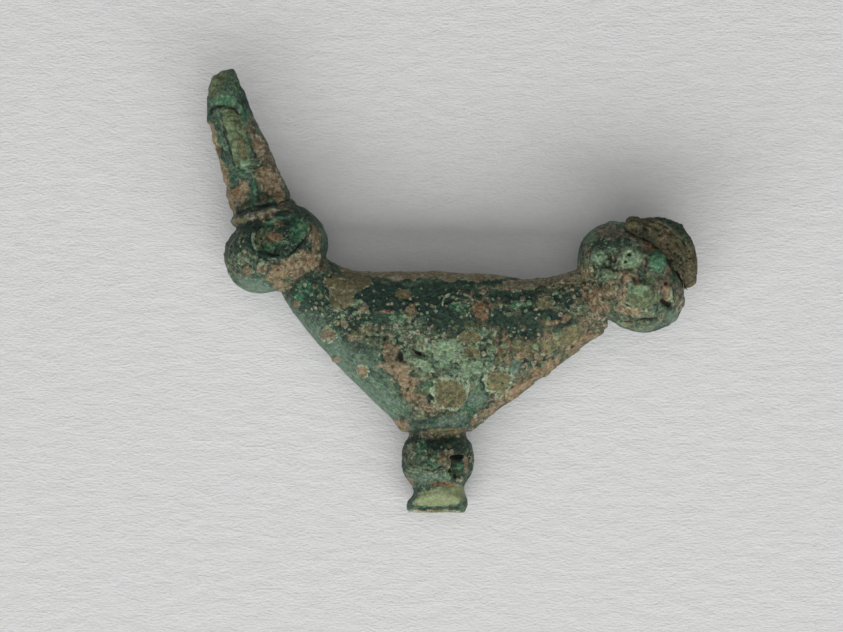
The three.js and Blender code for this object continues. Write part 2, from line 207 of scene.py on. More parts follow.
def bowSkin(stations=44, apexStations=26, sides=88):
    # rings between the pin-side curve and the lower edge: height = half sin(a)^0.85, swollen to one side
    footPin, footLow = neckCorners(footKnob, bow["footNeck"])
    headPin, headLow = neckCorners(headKnob, bow["headNeck"])
    pinPoints = np.array([footPin]
                         + [(lerp(apexKnob["x"], footPin[0], s), y) for s, y in bow["footSideEdge"]]
                         + [(lerp(apexKnob["x"], headPin[0], s), y) for s, y in bow["headSideEdge"]]
                         + [headPin])
    reach = bow["shoulderRadius"]
    shoulder = np.array([apexKnob["x"], apexKnob["y"] + apexKnob["halfLength"] + apexNeck["length"] / 4])
    first, last = bow["apexShares"]
    t = np.arange(stations) / stations
    turn = np.radians(np.linspace(-90, 90, apexStations))
    share = np.concatenate([t * first, lerp(first, last, (1 + np.sin(turn)) / 2),
                            lerp(last, 1, t + 1 / stations)])
    lower = np.vstack([
        lowerEdge(footLow, shoulder - [reach, 0], bow["footBelly"], t),
        shoulder + np.stack([reach * np.sin(turn), 0 * turn], -1),
        lowerEdge(headLow, shoulder + [reach, 0], bow["headBelly"], 1 - t - 1 / stations)])
    neckHalf = np.concatenate([0 * t, reach * np.cos(turn), 0 * t])[:, None]
    upper = curveThrough(pinPoints, share)
    angle = 2 * np.pi * (np.arange(sides) + 0.5) / sides
    down = (1 - np.cos(angle)) / 2
    fullness = np.sin(np.pi * share)[:, None]
    ends = lerp(bow["footNeck"]["width"], bow["headNeck"]["width"], share)[:, None] / 2
    half = lerp(ends, bow["thickness"] / 2, np.clip(fullness, 0, 1) ** 0.75)
    egg = half * np.abs(np.sin(angle)) ** 0.85 * (1 + bow["fullnessShift"] * np.cos(angle) * fullness)
    height = np.hypot(egg, neckHalf * smoothstep(down, 0.35, 1)) * np.sign(np.sin(angle))
    flat = upper[:, None, :] + (lower - upper)[:, None, :] * down[None, :, None]
    return np.dstack([flat, middlePlane(flat[..., 0], flat[..., 1]) + height])


# The apex knob with its neck and broken stud

stud = {
    "neckRadius": 3.15,
    "rimRadius": 3.65,
    "flareLength": 1.9,
    "rimLength": 0.9,
    "brokenAt": 3.08,
    "breakBulge": 0.4,
    "wear": 0.1,
    "scarTilt": 52,
    "scarHeight": 0.45,
}


def finialSkin():
    half, neck, rim = apexKnob["halfLength"], stud["neckRadius"], stud["rimRadius"]
    bottom = -half - stud["flareLength"] - stud["rimLength"]
    rimTop = bottom + stud["rimLength"]
    # the flare opens straight from the neck to the rim
    t = np.linspace(0, 1, 14)
    flare = np.stack([lerp(rim, neck, np.clip(t / 0.8, 0, 1)), rimTop + stud["flareLength"] * t], -1)
    knob = knobProfile(apexKnob)
    knob = knob[knob[:, 0] > neck]
    profile = np.vstack([
        [(0.05, bottom), (rim * 0.5, bottom), (rim * 0.95, bottom),
         (rim, bottom + stud["rimLength"] * 0.3)],
        flare, [(neck, -half * 0.93)], knob,
        [(apexNeck["radius"], half * 0.95), (apexNeck["radius"], half + apexNeck["length"]),
         (0.05, half + apexNeck["length"] * 2)]])
    points = lathed(finerProfile(profile)) + [apexKnob["x"], apexKnob["y"], apexKnob["radius"]]
    x, y, z = points[..., 0], points[..., 1], points[..., 2]
    onStud = y < apexKnob["y"] - half * 0.97
    slope = math.tan(math.radians(stud["scarTilt"]))
    scar = apexKnob["radius"] + stud["scarHeight"] + slope * (y - apexKnob["y"] - bottom)
    points[..., 2] = np.where(onStud, np.minimum(z, scar), z)
    # broken off on one side, and thinner at its neck on the other
    side = x - apexKnob["x"]
    up = np.clip((y - apexKnob["y"] - bottom) / (stud["rimLength"] + stud["flareLength"]), 0, 1)
    broken = np.minimum(side, stud["brokenAt"] + stud["breakBulge"] * np.sin(np.pi * up))
    worn = np.where(side < 0, side * (1 - stud["wear"] * smoothstep(up, 0.35, 0.75)), broken)
    points[..., 0] = np.where(onStud, apexKnob["x"] + worn, x)
    return points


def finerProfile(profile, longest=0.15):
    # points added along an open profile so that no step is longer than the given one
    profile = np.asarray(profile, float)
    lengths = np.concatenate([[0], np.cumsum(np.linalg.norm(np.diff(profile, axis=0), axis=1))])
    even = np.union1d(lengths, np.arange(0, lengths[-1], longest))
    return np.stack([np.interp(even, lengths, profile[:, k]) for k in (0, 1)], -1)


# The oval setting on the foot knob

setting = {"radius": 3.45, "ovalness": 0.84, "tilt": 28, "sunk": 0.85, "dish": 0.27,
           "along": 1.0, "around": 14, "grooveDepth": 0.16}


def settingAxes():
    # its centre, its two axes in the face and the way it faces
    turn = math.radians(footKnob["turn"])
    across = footKnob["radius"] * math.sin(math.radians(setting["around"]))
    x = setting["along"] * math.cos(turn) + across * math.sin(turn)
    y = setting["along"] * math.sin(turn) - across * math.cos(turn)
    centre = np.array([footKnob["x"] + x, footKnob["y"] + y,
                       footKnob["radius"] + knobTop(footKnob, x, y) - setting["sunk"]])
    lean = math.radians(90 - setting["tilt"])
    axes = np.array([[1, 0, 0], [0, math.cos(lean), math.sin(lean)], [0, -math.sin(lean), math.cos(lean)]])
    return centre, turned(axes, footKnob["turn"])


def settingHeight(share):
    # the face from its middle to its rim: a shallow dish, a low inner ring and a thin raised rim
    steps = [0, 0.3, 0.38, 0.47, 0.58, 0.78, 0.88, 0.95, 1.0]
    heights = [-0.9, -1.1, -1.15, -0.55, -0.95, -1.1, -0.05, 0.1, -0.2]
    return np.interp(share, steps, heights) * setting["dish"]


def settingSkin():
    s = setting
    share = np.linspace(0.01, 1, 60)
    face = np.stack([share * s["radius"], settingHeight(share)], -1)
    back = [(s["radius"], -s["dish"] * 3), (s["radius"] * 0.7, -s["radius"]), (0.05, -s["radius"])]
    shape = lathed(finerProfile(np.vstack([face, back]))) * [1, 1, s["ovalness"]]
    centre, (side, facing, other) = settingAxes()
    return centre + shape[..., :1] * side + shape[..., 1:2] * facing + shape[..., 2:] * other


# The foot with its collar, the stump of the catch and the crust at its tip

collar = {"lip": 0.38, "thickness": 1.3, "turn": 107, "neckInset": 0.5}
foot = {
    "bearing": 110.3,
    "clearOfKnob": 1.3,
    "turn": 104,
    "length": 15.65,
    "outerWidth": 3.25,
    "baseInnerWidth": 3.7,
    "tipInnerWidth": 0.9,
    "ridge": 0.35,
    "frontHeight": 2.7,
    "backHeight": 1.9,
    "edgeThickness": 1.5,
    "tipThinning": 0.55,
}
catchStump = {"radius": 1.0, "from": 11.2, "to": 4.6, "outerSide": -1.35, "innerSide": -0.15, "sunk": 0.5}
tipCrust = {"along": 12.6, "across": -0.95, "length": 2.5, "width": 1.85, "height": 1.9}


def footPlace(along, across, up):
    base = pointAt(footKnob["x"], footKnob["y"], foot["bearing"],
                   footKnob["halfLength"] + foot["clearOfKnob"])
    turn = math.radians(foot["turn"])
    along, across, up = np.broadcast_arrays(along, across, up)
    return np.stack([base[0] + along * math.cos(turn) + across * math.sin(turn),
                     base[1] + along * math.sin(turn) - across * math.cos(turn),
                     footKnob["radius"] + up], -1)


def footFront(along):
    return foot["frontHeight"] * lerp(1, foot["tipThinning"], along / foot["length"])


def footSkin(stations=70):
    # a roof-like outline carried along the axis, drawn in to a round end by sqrt(1 - smoothstep^1.5)
    share = np.sin(np.pi / 2 * np.arange(stations + 1) / stations)
    along = share * foot["length"]
    rounding = np.sqrt(np.maximum(0.03, 1 - smoothstep(share, 0.68, 1.02) ** 1.5))
    outer = -foot["outerWidth"] * rounding
    inner = lerp(foot["baseInnerWidth"], foot["tipInnerWidth"], share)
    front = footFront(along) * np.sqrt(rounding)
    back = foot["backHeight"] * lerp(1, foot["tipThinning"], share) * np.sqrt(rounding)
    edge = np.full_like(share, foot["edgeThickness"] / 2)
    ridge = np.minimum(foot["ridge"], inner * 0.6)
    outline = np.stack([np.stack(pair, -1) for pair in (
        (outer, -edge), (outer, edge),
        (lerp(outer, ridge, 0.5), lerp(edge, front, 0.62)),
        (ridge - 0.35 * rounding, front * 0.97), (ridge + 0.3 * rounding, front * 0.97),
        (lerp(inner, ridge, 0.45), lerp(edge, front, 0.5)),
        (inner, edge), (inner, -edge),
        (inner * 0.6, -back * 0.9), (0 * share, -back), (outer * 0.6, -back * 0.9),
    )], 1)
    outline = finer(outline)
    return footPlace(along[:, None], outline[..., 0], outline[..., 1])


def collarSkin():
    radius = (foot["outerWidth"] + foot["baseInnerWidth"]) / 2 + collar["lip"]
    neck, half = radius - collar["neckInset"], collar["thickness"] / 2
    space = foot["clearOfKnob"] - half
    profile = [(0.05, -radius), (neck, -radius), (neck, -half), (radius, -half / 2), (radius, half / 2),
               (neck, half), (neck * 0.95, half + space), (0.05, half + space * 2)]
    across = (foot["baseInnerWidth"] - foot["outerWidth"]) / 2
    ring = turned(lathed(finerProfile(profile)), collar["turn"])
    return ring + footPlace(-foot["clearOfKnob"], across, 0)


def catchSkin():
    s = catchStump
    start = footPlace(s["from"], s["outerSide"], footFront(s["from"]) - s["sunk"])
    end = footPlace(s["to"], s["innerSide"], footFront(s["to"]) - s["sunk"])
    return capsule(start, end, s["radius"])


def tipCrustSkin():
    s = tipCrust
    shape = turned(ball((0, 0, 0), (s["width"], s["length"], s["height"])), foot["turn"])
    return shape + footPlace(s["along"], s["across"], 0)


# The head knob's corrosion warts

warts = [  # from its centre
    {"x": -3.9, "y": 2.6, "radius": 1.35},
    {"x": -0.1, "y": 2.6, "radius": 1.8},
    {"x": -2.8, "y": 0.4, "radius": 1.15},
    {"x": 1.05, "y": -1.75, "radius": 1.75},
    {"x": 2.8, "y": 1.95, "radius": 1.4},
]
wartHeight = 0.42


def wartSkin(wart):
    rise = knobTop(headKnob, wart["x"], wart["y"])
    outward = np.array([wart["x"], wart["y"], rise])
    middle = outward - outward / np.linalg.norm(outward) * wart["radius"] * (1 - wartHeight)
    return ball(middle + [headKnob["x"], headKnob["y"], headKnob["radius"]], [wart["radius"]] * 3)


# The spring's stump

spring = {
    "standOff": 0.4, "startStandOff": 1.15, "bulge": 0.3, "fromTurn": 90, "toTurn": -11,
    "low": -3.0, "high": 4.35, "chamfer": 0.35, "tipLoss": 0.55, "roundedFrom": 0.86, "rounding": 1.5,
    "corner": 0.35, "cornerTurn": 46, "cornerSpread": 13, "leastThickness": 0.45,
    "gap": 0.2,  # to the knob
}
springRoll = {"radius": 1.1, "length": 2.6, "standOff": 0.1, "bearing": 76, "turn": 150, "sunk": 0.5}


def knobReach(turn, up):
    # how far the head knob and the gap reach at an angle and a height: the root of the knob's
    # superellipse along^n + around^n = 1, found by halving
    a = np.radians(turn - headKnob["turn"])
    low, high = np.zeros_like(a + up), np.full_like(a + up, headKnob["radius"] * 1.2)
    n = headKnob["boxiness"]
    for _ in range(30):
        r = (low + high) / 2
        along = np.abs(r * np.cos(a)) / (headKnob["halfLength"] + spring["gap"])
        around = np.hypot(r * np.sin(a), up) / (headKnob["radius"] + spring["gap"])
        inside = along ** n + around ** n < 1
        low, high = np.where(inside, r, low), np.where(inside, high, r)
    return (low + high) / 2


def springSkin(stations=90):
    s = spring
    share = np.linspace(0, 1, stations)
    turn = lerp(s["fromTurn"], s["toTurn"], share)
    kept = 1 - s["tipLoss"] * smoothstep(share, 0.75, 1)
    top, bottom = s["high"] * kept, s["low"] * kept
    reach = lerp(headKnob["halfLength"] + s["startStandOff"], headKnob["radius"] + s["standOff"],
                 smoothstep(share, 0, 0.3))
    outer = reach + s["bulge"] * np.sin(np.pi * share) ** 2
    outer = outer + s["corner"] * np.exp(-((turn - s["cornerTurn"]) / s["cornerSpread"]) ** 2)
    ending = np.clip((share - s["roundedFrom"]) / (1 - s["roundedFrom"]), 0, 1)
    outer = outer - s["rounding"] * (1 - np.sqrt(1 - ending ** 2))  # its end is rounded off
    # down the outer face and up the inner one, which keeps clear of the knob
    t = np.linspace(0, 1, 30)
    faceUp = lerp(top[:, None], bottom[:, None], t)
    chamfer = s["chamfer"] * np.abs(2 * t - 1) ** 8
    face = np.stack([outer[:, None] - chamfer, faceUp], -1)
    innerUp = faceUp[:, ::-1]
    inner = np.minimum(knobReach(turn[:, None], innerUp), outer[:, None] - s["leastThickness"])
    strip = np.concatenate([face, np.stack([inner, innerUp], -1)], 1)
    angle = np.radians(turn)[:, None]
    return np.stack([headKnob["x"] + strip[..., 0] * np.cos(angle),
                     headKnob["y"] + strip[..., 0] * np.sin(angle),
                     headKnob["radius"] + strip[..., 1]], -1)


def rollSkin():
    s = springRoll
    x, y = pointAt(headKnob["x"], headKnob["y"], s["bearing"], headKnob["halfLength"] + s["standOff"])
    turn = math.radians(s["turn"])
    half = np.array([math.cos(turn), math.sin(turn), 0]) * s["length"] / 2
    middle = np.array([x, y, headKnob["radius"] + spring["high"] - s["sunk"]])
    return capsule(middle - half, middle + half, s["radius"])


# Noise


def cellRandom(cells, seed):
    # a steady number from 0 to 1 for each whole-number cell
    n = cells[..., 0] * 73856093 ^ cells[..., 1] * 19349663 ^ cells[..., 2] * 83492791 ^ (seed * 2971215073)
    n = (n ^ (n >> 15)) * 2246822519 & 0xFFFFFFFF
    n = (n ^ (n >> 13)) * 3266489917 & 0xFFFFFFFF
    return ((n ^ (n >> 16)) & 0xFFFFFF) / 0xFFFFFF


def clouds(points, size, seed, octaves=3):
    # random corner values blended by smooth steps, each octave half the size and height; about -1 to 1
    total, height = 0.0, 1.0
    for octave in range(octaves):
        at = points / size + 17.3 * octave
        cell = np.floor(at).astype(np.int64)
        t = at - cell
        t = t * t * (3 - 2 * t)
        blend = 0.0
        for corner in np.ndindex(2, 2, 2):
            weight = np.prod(np.where(corner, t, 1 - t), axis=-1)
            blend = blend + weight * cellRandom(cell + corner, seed + octave)
        total = total + (blend * 2 - 1) * height
        size, height = size / 2, height / 2
    return total * 1.3


def grains(points, size, seed, chance, small=0.24, large=0.5):
    # a ball in some cells, of a random place and radius; height 1 - (distance / radius)^2, the tallest wins
    cell = np.floor(points / size).astype(np.int64)
    tallest, tone = np.full(len(points), -1.0), np.zeros(len(points))
    for step in np.ndindex(3, 3, 3):
        near = cell + np.array(step) - 1
        jitter = np.stack([cellRandom(near, seed + k) for k in (1, 2, 3)], -1)
        radius = size * lerp(small, large, cellRandom(near, seed + 4))
        radius = np.where(cellRandom(near, seed + 5) < chance, radius, 1e-6)
        away = np.linalg.norm(points - (near + jitter) * size, axis=1)
        rise = 1 - (away / radius) ** 2
        taller = rise > tallest
        tallest, tone = np.where(taller, rise, tallest), np.where(taller, cellRandom(near, seed + 6), tone)
    return tallest, tone


def plates(points, size, seed):
    # the nearest of one random centre to a cell: its tone, and how much farther the second nearest is
    cell = np.floor(points / size).astype(np.int64)
    first, second = np.full(len(points), 9.0), np.full(len(points), 9.0)
    tone = np.zeros(len(points))
    for step in np.ndindex(3, 3, 3):
        near = cell + np.array(step) - 1
        jitter = np.stack([cellRandom(near, seed + k) for k in (1, 2, 3)], -1)
        away = np.linalg.norm(points / size - near - jitter, axis=1)
        tone = np.where(away < first, cellRandom(near, seed + 4), tone)
        second = np.minimum(second, np.maximum(first, away))
        first = np.minimum(first, away)
    return tone, second - first


# Meshes


def meshFrom(name, skins):
    corners, faces, first = [], [], 0
    for points, sides in (closedSkin(skin) for skin in skins):
        corners.append(points)
        faces += [[first + corner for corner in face] for face in sides]
        first += len(points)
    mesh = bpy.data.meshes.new(name)
    mesh.from_pydata(np.vstack(corners), [], faces)
    return mesh


def throughModifier(mesh, kind, settings, chosen=None):
    # the mesh as one modifier leaves it, which may work on the chosen vertices alone
    thing = bpy.data.objects.new(mesh.name, mesh)
    bpy.context.scene.collection.objects.link(thing)
    if chosen is not None:
        thing.vertex_groups.new(name="chosen").add(chosen.tolist(), 1.0, "REPLACE")
        settings = {**settings, "vertex_group": "chosen"}
    modifier = thing.modifiers.new("made", kind)
    for name, value in settings.items():
        setattr(modifier, name, value)
    made = bpy.data.meshes.new_from_object(thing.evaluated_get(bpy.context.evaluated_depsgraph_get()))
    bpy.data.objects.remove(thing)
    bpy.data.meshes.remove(mesh)
    return made


def grownTogether(mesh, voxel):
    # the closed skins joined into one by a voxel remesh
    return throughModifier(mesh, "REMESH", {"mode": "VOXEL", "voxel_size": voxel})


def pointsOf(mesh):
    values = np.empty(len(mesh.vertices) * 3)
    mesh.vertices.foreach_get("co", values)
    return values.reshape(-1, 3)


def setPoints(mesh, points):
    mesh.vertices.foreach_set("co", points.ravel())
    mesh.update()


def normalsOf(mesh):
    values = np.empty(len(mesh.vertices) * 3)
    mesh.vertices.foreach_get("normal", values)
    return values.reshape(-1, 3)


def edgesOf(mesh):
    values = np.empty(len(mesh.edges) * 2, np.int32)
    mesh.edges.foreach_get("vertices", values)
    return values.reshape(-1, 2)


def relaxed(values, edges, amount, rounds):
    # each round moves a value by amount of the way to the mean of its neighbours
    a, b = edges.T
    size = len(values)
    count = np.maximum(np.bincount(edges.ravel(), minlength=size), 1)
    columns = values.reshape(size, -1).astype(float)
    for _ in range(rounds):
        for k in range(columns.shape[1]):
            total = np.bincount(a, columns[b, k], size) + np.bincount(b, columns[a, k], size)
            columns[:, k] += amount * (total / count - columns[:, k])
    return columns.reshape(values.shape)


# Named places of the patina, each an ellipse: x, y, half width, half height (pixels of the
# photograph) and turn in degrees, for some also how far it stands up in millimetres and how pale
# its rim is.

patina = {
    "soil": [
        (316, 242, 4.5, 13, 8, 0.12), (307, 258, 9, 11, 30, 0.18), (292, 269, 15, 9, 10, 0.16),
        (280, 284, 12, 6, -25, 0.08), (249, 270, 5, 5, 0, 0.14, 0.5), (263, 268, 5, 6, 0, 0.12, 0.4),
        (277, 276, 10, 5, 20, 0.1), (391, 354, 8, 9, 0, 0.2), (398, 370, 17, 8, -28, 0.2),
        (409, 380, 10, 7, -20, 0.16), (414, 397, 14, 6, -25, 0.1), (432, 408, 12, 4, -10, 0.08),
        (402, 424, 8, 5, -30, 0.1), (329, 334, 6, 8, 20, 0.2, 1), (364, 371, 7, 6, -30, 0.2, 1),
        (336, 359, 4, 2.5, -20, 0.1), (297, 304, 4, 4, 0, 0.15, 0.5), (411, 311, 5, 6, 0, 0.2, 0.6),
        (365, 309, 5, 4, 0, 0.16, 0.5), (506, 347, 4, 17, 8, 0.14), (551, 322, 10, 2.5, 4, 0.12),
        (566, 317, 5, 4, 30, 0.22), (579, 343, 18, 5, 35, 0.06), (549, 366, 19, 5, 39, 0.06),
        (519, 389, 20, 5, 37, 0.08), (487, 412, 20, 5, 36, 0.1), (594, 300, 7, 14, 15, 0.12),
        (605, 291, 8, 6, 0), (622, 278, 6, 6, -20, 0.05), (603, 305, 8, 5, -20, 0.08), (618, 292, 5, 14, 5),
        (606, 290, 8, 7, 0), (630, 312, 16, 4, -6), (664, 296, 3, 8, 10), (665, 272, 3, 8, -10),
        (446, 460, 8, 7, -20), (612, 328, 9, 3, -28), (626, 334, 10, 3, -25), (598, 336, 6, 4, 30, 0.1),
        (500, 350, 5, 7, 0, 0.08), (520, 355, 6, 4, 20, 0.1), (345, 322, 4, 4, 0, 0.12, 0.5),
        (352, 337, 5, 4, 0, 0.1, 0.5), (214, 140, 5, 16, 14), (221, 172, 6, 16, 14), (230, 200, 6, 14, 14),
        (243, 190, 6, 12, 10), (270, 180, 8, 16, 18), (280, 196, 6, 7, 0), (256, 140, 4, 10, 24),
        (408, 484, 5, 7, 30), (664, 288, 3, 8, 20), (466, 464, 2.5, 9, 0),
    ],
    "olive": [
        (449, 393, 18, 17, 20, 0.2, 0.9), (497, 381, 14, 13, 30, 0.22, 1), (570, 335, 14, 9, 30, 0.06, 0.3),
        (445, 431, 20, 3.5, 0, 0.08), (470, 337, 12, 6, 0, 0.06, 0.5), (243, 150, 4, 12, 15),
        (240, 222, 8, 3, 14), (545, 303, 9, 6, 10, 0.1, 0.7), (522, 350, 12, 9, 0, 0.06, 0.4),
        (548, 345, 9, 7, 20, 0.06, 0.5), (472, 352, 8, 7, 0, 0.06, 0.6),
    ],
    "scar": [
        (442, 497, 25, 9.5, 2), (456, 492, 12, 8, 0), (428, 500, 15, 6, 12),
    ],
    "dusty": [
        (450, 275, 80, 6, 0, 0.03), (385, 273, 44, 5, -4, 0.03), (535, 282, 44, 6, 8, 0.03),
        (574, 277, 22, 8, 22, 0.04), (436, 511.5, 28, 2, 0),
    ],
    "umber": [
        (349, 283, 24, 9, 2, 0.16, 0.8), (342, 294, 14, 15, 10, 0.16, 0.8), (403, 294, 8, 5, 0, 0.03),
    ],
    "moss": [
        (236, 132, 10, 26, 17), (244, 160, 9, 9, 20), (216, 84, 8, 14, -10), (638, 295, 16, 15, 0),
        (262, 240, 6, 10, 0),
    ],
    "mint": [
        (446, 349, 15, 10, -15, 0.06, 0.5), (472, 368, 13, 8, 20, 0.05, 0.5),
        (423, 339, 6, 4, 0, 0.05, 0.5), (425, 366, 9, 4, -25, 0.05, 0.6), (404, 316, 2.5, 2.5, 0, 0.1),
        (550, 303, 5, 3, 0, 0.04), (627, 257, 14, 14, 0), (634, 289, 8, 7, 0), (606, 273, 5, 5, 0),
        # the mint place at (668, 294) is a painted highlight, a pale streak on the head knob's ridge
        (598, 258, 6, 7, 0), (245, 163, 5, 6, 24), (668, 294, 2.5, 8, 5), (612, 252, 9, 4, 0),
        (361, 305, 9, 5, -20, 0.08, 0.6), (428, 347, 5, 4, 0, 0.03), (449, 475, 5, 4, 0),
        (336, 308, 5, 4, 0, 0.04),
    ],
    "emerald": [
        (457, 307, 11, 5, 5, -0.1), (432, 386, 7, 6, 30, 0.12), (226, 101, 12, 5, -4),
        (656, 262, 10, 12, 0), (299, 232, 9, 11, -20), (270, 248, 10, 4, 20), (306, 287, 9, 6, -30),
        (300, 298, 6, 5, 0), (398, 318, 8, 5, 0), (518, 305, 7, 4, 0), (436, 462, 12, 6, 0),
        (218, 232, 6, 6, 0), (420, 447, 10, 6, 0), (469, 408, 6, 6, 0, 0.03), (244, 113, 3, 8, 30),
        (590, 238, 6, 8, 0), (616, 224, 7, 4, 0), (457, 466, 7, 6, 0), (255, 188, 2, 10, 8),
        (275, 222, 10, 3, 20),
    ],
    "teal": [
        (318, 348, 24, 56, 42), (350, 382, 24, 56, 43), (384, 408, 20, 28, 45), (428, 477, 22, 5, 0),
        (256, 286, 22, 8, -14), (452, 420, 26, 6, 8), (512, 366, 8, 12, 0), (474, 402, 14, 6, 30),
        (412, 507, 6, 5, -40), (670, 318, 7, 6, 0),
    ],
    "rust": [
        (481, 313, 7, 11, 25, 0.12), (386, 312, 7, 2, -5, 0.05), (503, 345, 3, 12, 5, 0.08),
        (276, 238, 8, 6, 10), (281, 224, 5, 3, 0), (647, 248, 7, 4, -20), (442, 484, 15, 2.4, -4),
        (520, 387, 26, 2, 36), (235, 193, 5, 8, 12), (622, 277, 4, 5, 0), (590, 300, 5, 9, 10),
        (635, 283, 5, 3, 0),
    ],
    "brown": [
        (268, 160, 8, 42, 22), (262, 214, 30, 3, 14), (312, 235, 6, 12, 8), (606, 234, 26, 7, 4),
        (318, 264, 14, 8, -30, 0.08), (470, 432, 10, 6, 0, 0.04), (595, 316, 12, 12, 0, 0.04),
        (408, 432, 7, 7, 0, 0.04), (643, 262, 4, 13, 0), (586, 252, 4, 14, 0), (679, 298, 6, 14, 0),
        (412, 448, 8, 6, 40), (438, 434, 26, 3, 0), (655, 285, 7, 9, 0), (636, 240, 12, 6, -30),
        (613, 268, 3, 10, 10), (625, 308, 9, 7, 0), (670, 262, 4, 14, -10),
    ],
    "green": [
        (612, 256, 30, 13, 0), (606, 276, 13, 10, 0), (641, 297, 20, 18, 0), (656, 264, 13, 15, 0),
        (640, 313, 28, 6, -4), (675, 316, 8, 10, 0), (222, 88, 17, 26, 10, 0.03), (238, 142, 13, 34, 15),
        (430, 460, 26, 14, 0), (240, 262, 20, 18, 0), (452, 372, 50, 30, 0), (640, 224, 30, 5, 0),
        (650, 329, 26, 7, 12), (500, 290, 30, 6, 0), (430, 284, 30, 5, 0), (570, 310, 20, 8, 10),
    ],
    # deep-green patina, and painted shade where parts lie in shade, such as the collar, the neck and the
    # head knob's lens
    "shade": [
        (222, 153, 3, 8, 14), (246, 96, 4, 20, 20), (257, 190, 2.5, 12, 8), (310, 281, 12, 5, -10),
        (304, 296, 10, 10, 0), (400, 296, 26, 12, 0), (362, 300, 12, 10, 20), (436, 290, 22, 9, 0),
        (440, 318, 20, 8, 0), (510, 298, 24, 8, 0), (436, 452, 22, 12, 0), (236, 214, 14, 3.5, 12),
        (262, 208, 28, 4, 12), (284, 209, 12, 3, 8), (660, 330, 14, 4, 24), (214, 250, 8, 12, 0),
        (428, 422, 14, 3, 0), (440, 430, 16, 4, 0), (262, 212, 26, 4, 12), (566, 324, 14, 6, 20),
        (500, 318, 26, 9, -6), (378, 288, 14, 6, 0), (540, 312, 16, 7, 0), (432, 446, 14, 6, 0),
        (528, 322, 16, 6, -20), (455, 438, 14, 4, 0), (508, 330, 8, 8, 0), (556, 316, 12, 5, 10),
        (455, 443, 9, 5, -20), (425, 455, 8, 9, 0), (601, 244, 12, 3, 0), (247, 240, 7, 9, 0),
        (234, 250, 9, 6, 20), (410, 506, 4, 4, 0), (560, 300, 14, 6, 0), (380, 320, 12, 5, 0),
    ],
}
edgeSoftness = {"teal": 0.55, "soil": 0.4, "green": 0.5, "shade": 0.5, "brown": 0.4,
                "umber": 0.12, "scar": 0.2}  # 0.3 for the others
edgeBend = {"umber": 0.5, "olive": 0.6, "scar": 0.5}  # 1 for the others
# Wide zones that only thicken one kind of crumb: x, y, half width, half height, turn.
zones = {
    "earth": [
        (560, 334, 56, 22, 30), (590, 290, 28, 24, 0), (450, 272, 150, 6, 0), (266, 170, 16, 44, 16),
        (420, 385, 40, 26, -30), (262, 212, 40, 12, 14), (288, 268, 22, 14, 0), (618, 276, 26, 26, 0),
        (660, 290, 18, 26, 0), (445, 432, 40, 10, 0), (510, 385, 40, 14, 34), (636, 312, 26, 10, 0),
        (216, 165, 10, 40, 14), (238, 262, 22, 20, 0),
    ],
    "pale": [
        (440, 350, 44, 22, 0), (340, 315, 26, 14, -30), (410, 328, 30, 14, 0), (480, 370, 34, 16, 20),
        (436, 408, 40, 12, 0), (612, 262, 28, 20, 0), (238, 144, 12, 34, 14), (438, 470, 26, 14, 0),
        (424, 440, 12, 6, 0), (285, 240, 26, 22, 20), (636, 310, 30, 8, 0), (240, 255, 12, 14, 0),
    ],
    "speckled": [
        (322, 303, 34, 30, -20), (308, 294, 26, 24, 0), (410, 326, 46, 22, 0), (352, 325, 46, 24, -20),
        (560, 300, 40, 20, 0), (450, 412, 40, 14, 0), (430, 305, 110, 14, 0), (500, 350, 40, 24, 0),
        (240, 258, 26, 24, 0), (610, 262, 30, 26, 0), (436, 462, 36, 26, 0),
    ],
    # darker ground, along the bow's upper band partly painted shade where it faces away from the light
    "deepened": [
        (420, 300, 120, 20, 2), (530, 312, 50, 22, -6), (310, 288, 24, 16, -10), (430, 450, 36, 18, 0),
        (610, 240, 26, 10, 0), (262, 240, 50, 20, 20), (490, 330, 60, 16, 0), (350, 318, 30, 12, -20),
    ],
    "plated": [
        (550, 340, 60, 34, 34), (470, 360, 60, 44, 0), (400, 340, 40, 20, -20), (600, 290, 30, 34, 0),
        (640, 300, 40, 34, 0), (430, 464, 30, 20, 0), (300, 270, 26, 16, -20), (430, 395, 40, 30, 0),
        (520, 306, 60, 20, -4),
    ],
}
# Lumps that stand up as low domes, like the places, with a height.
lumps = [
    (598, 260, 12, 11, 0, 0.35), (629, 257, 14, 15, 0, 0.4), (605, 275, 11, 10, 0, 0.35),
    (639, 293, 17, 17, 0, 0.4), (656, 262, 12, 15, 0, 0.4), (605, 291, 11, 9, 0, 0.35),
    (665, 290, 4, 11, 14, 0.35), (613, 226, 8, 6, 0, 0.3), (622, 277, 9, 9, 0, 0.2),
    (639, 293, 6, 6, 0, 0.12), (612, 306, 10, 9, 0, 0.25), (655, 284, 8, 8, 0, 0.2),
    (441, 459, 4, 3, 0, 0.15), (446, 464, 4, 4, 0, 0.12), (425, 452, 9, 7, 0, 0.15),
    (424, 466, 8, 5, 0, 0.12), (682, 301, 6, 7, 0, 0.3), (674, 318, 7, 7, 0, 0.15),
    (245, 164, 8, 7, 0, 0.35), (259, 162, 6, 6, 0, 0.3), (224, 92, 14, 14, 0, 0.25),
    (212, 100, 6, 8, 0, 0.35), (216, 80, 6, 6, 0, 0.3), (210, 118, 5, 6, 0, 0.25),
    (249, 270, 6, 6, 0, 0.15), (262, 264, 4, 4, 0, 0.2), (264, 272, 4, 4, 0, 0.2),
    (444, 461, 8, 8, -20, 0.3), (420, 478, 9, 5, 0, 0.15), (449, 475, 6, 5, 0, 0.25),
    (460, 478, 6, 5, 0, 0.15), (432, 386, 6, 5, 0, 0.25), (391, 354, 9, 9, 0, 0.2),
    (588, 285, 3, 16, 16, 0.2), (600, 333, 6, 6, 0, 0.2), (650, 314, 11, 4, -8, 0.2),
]
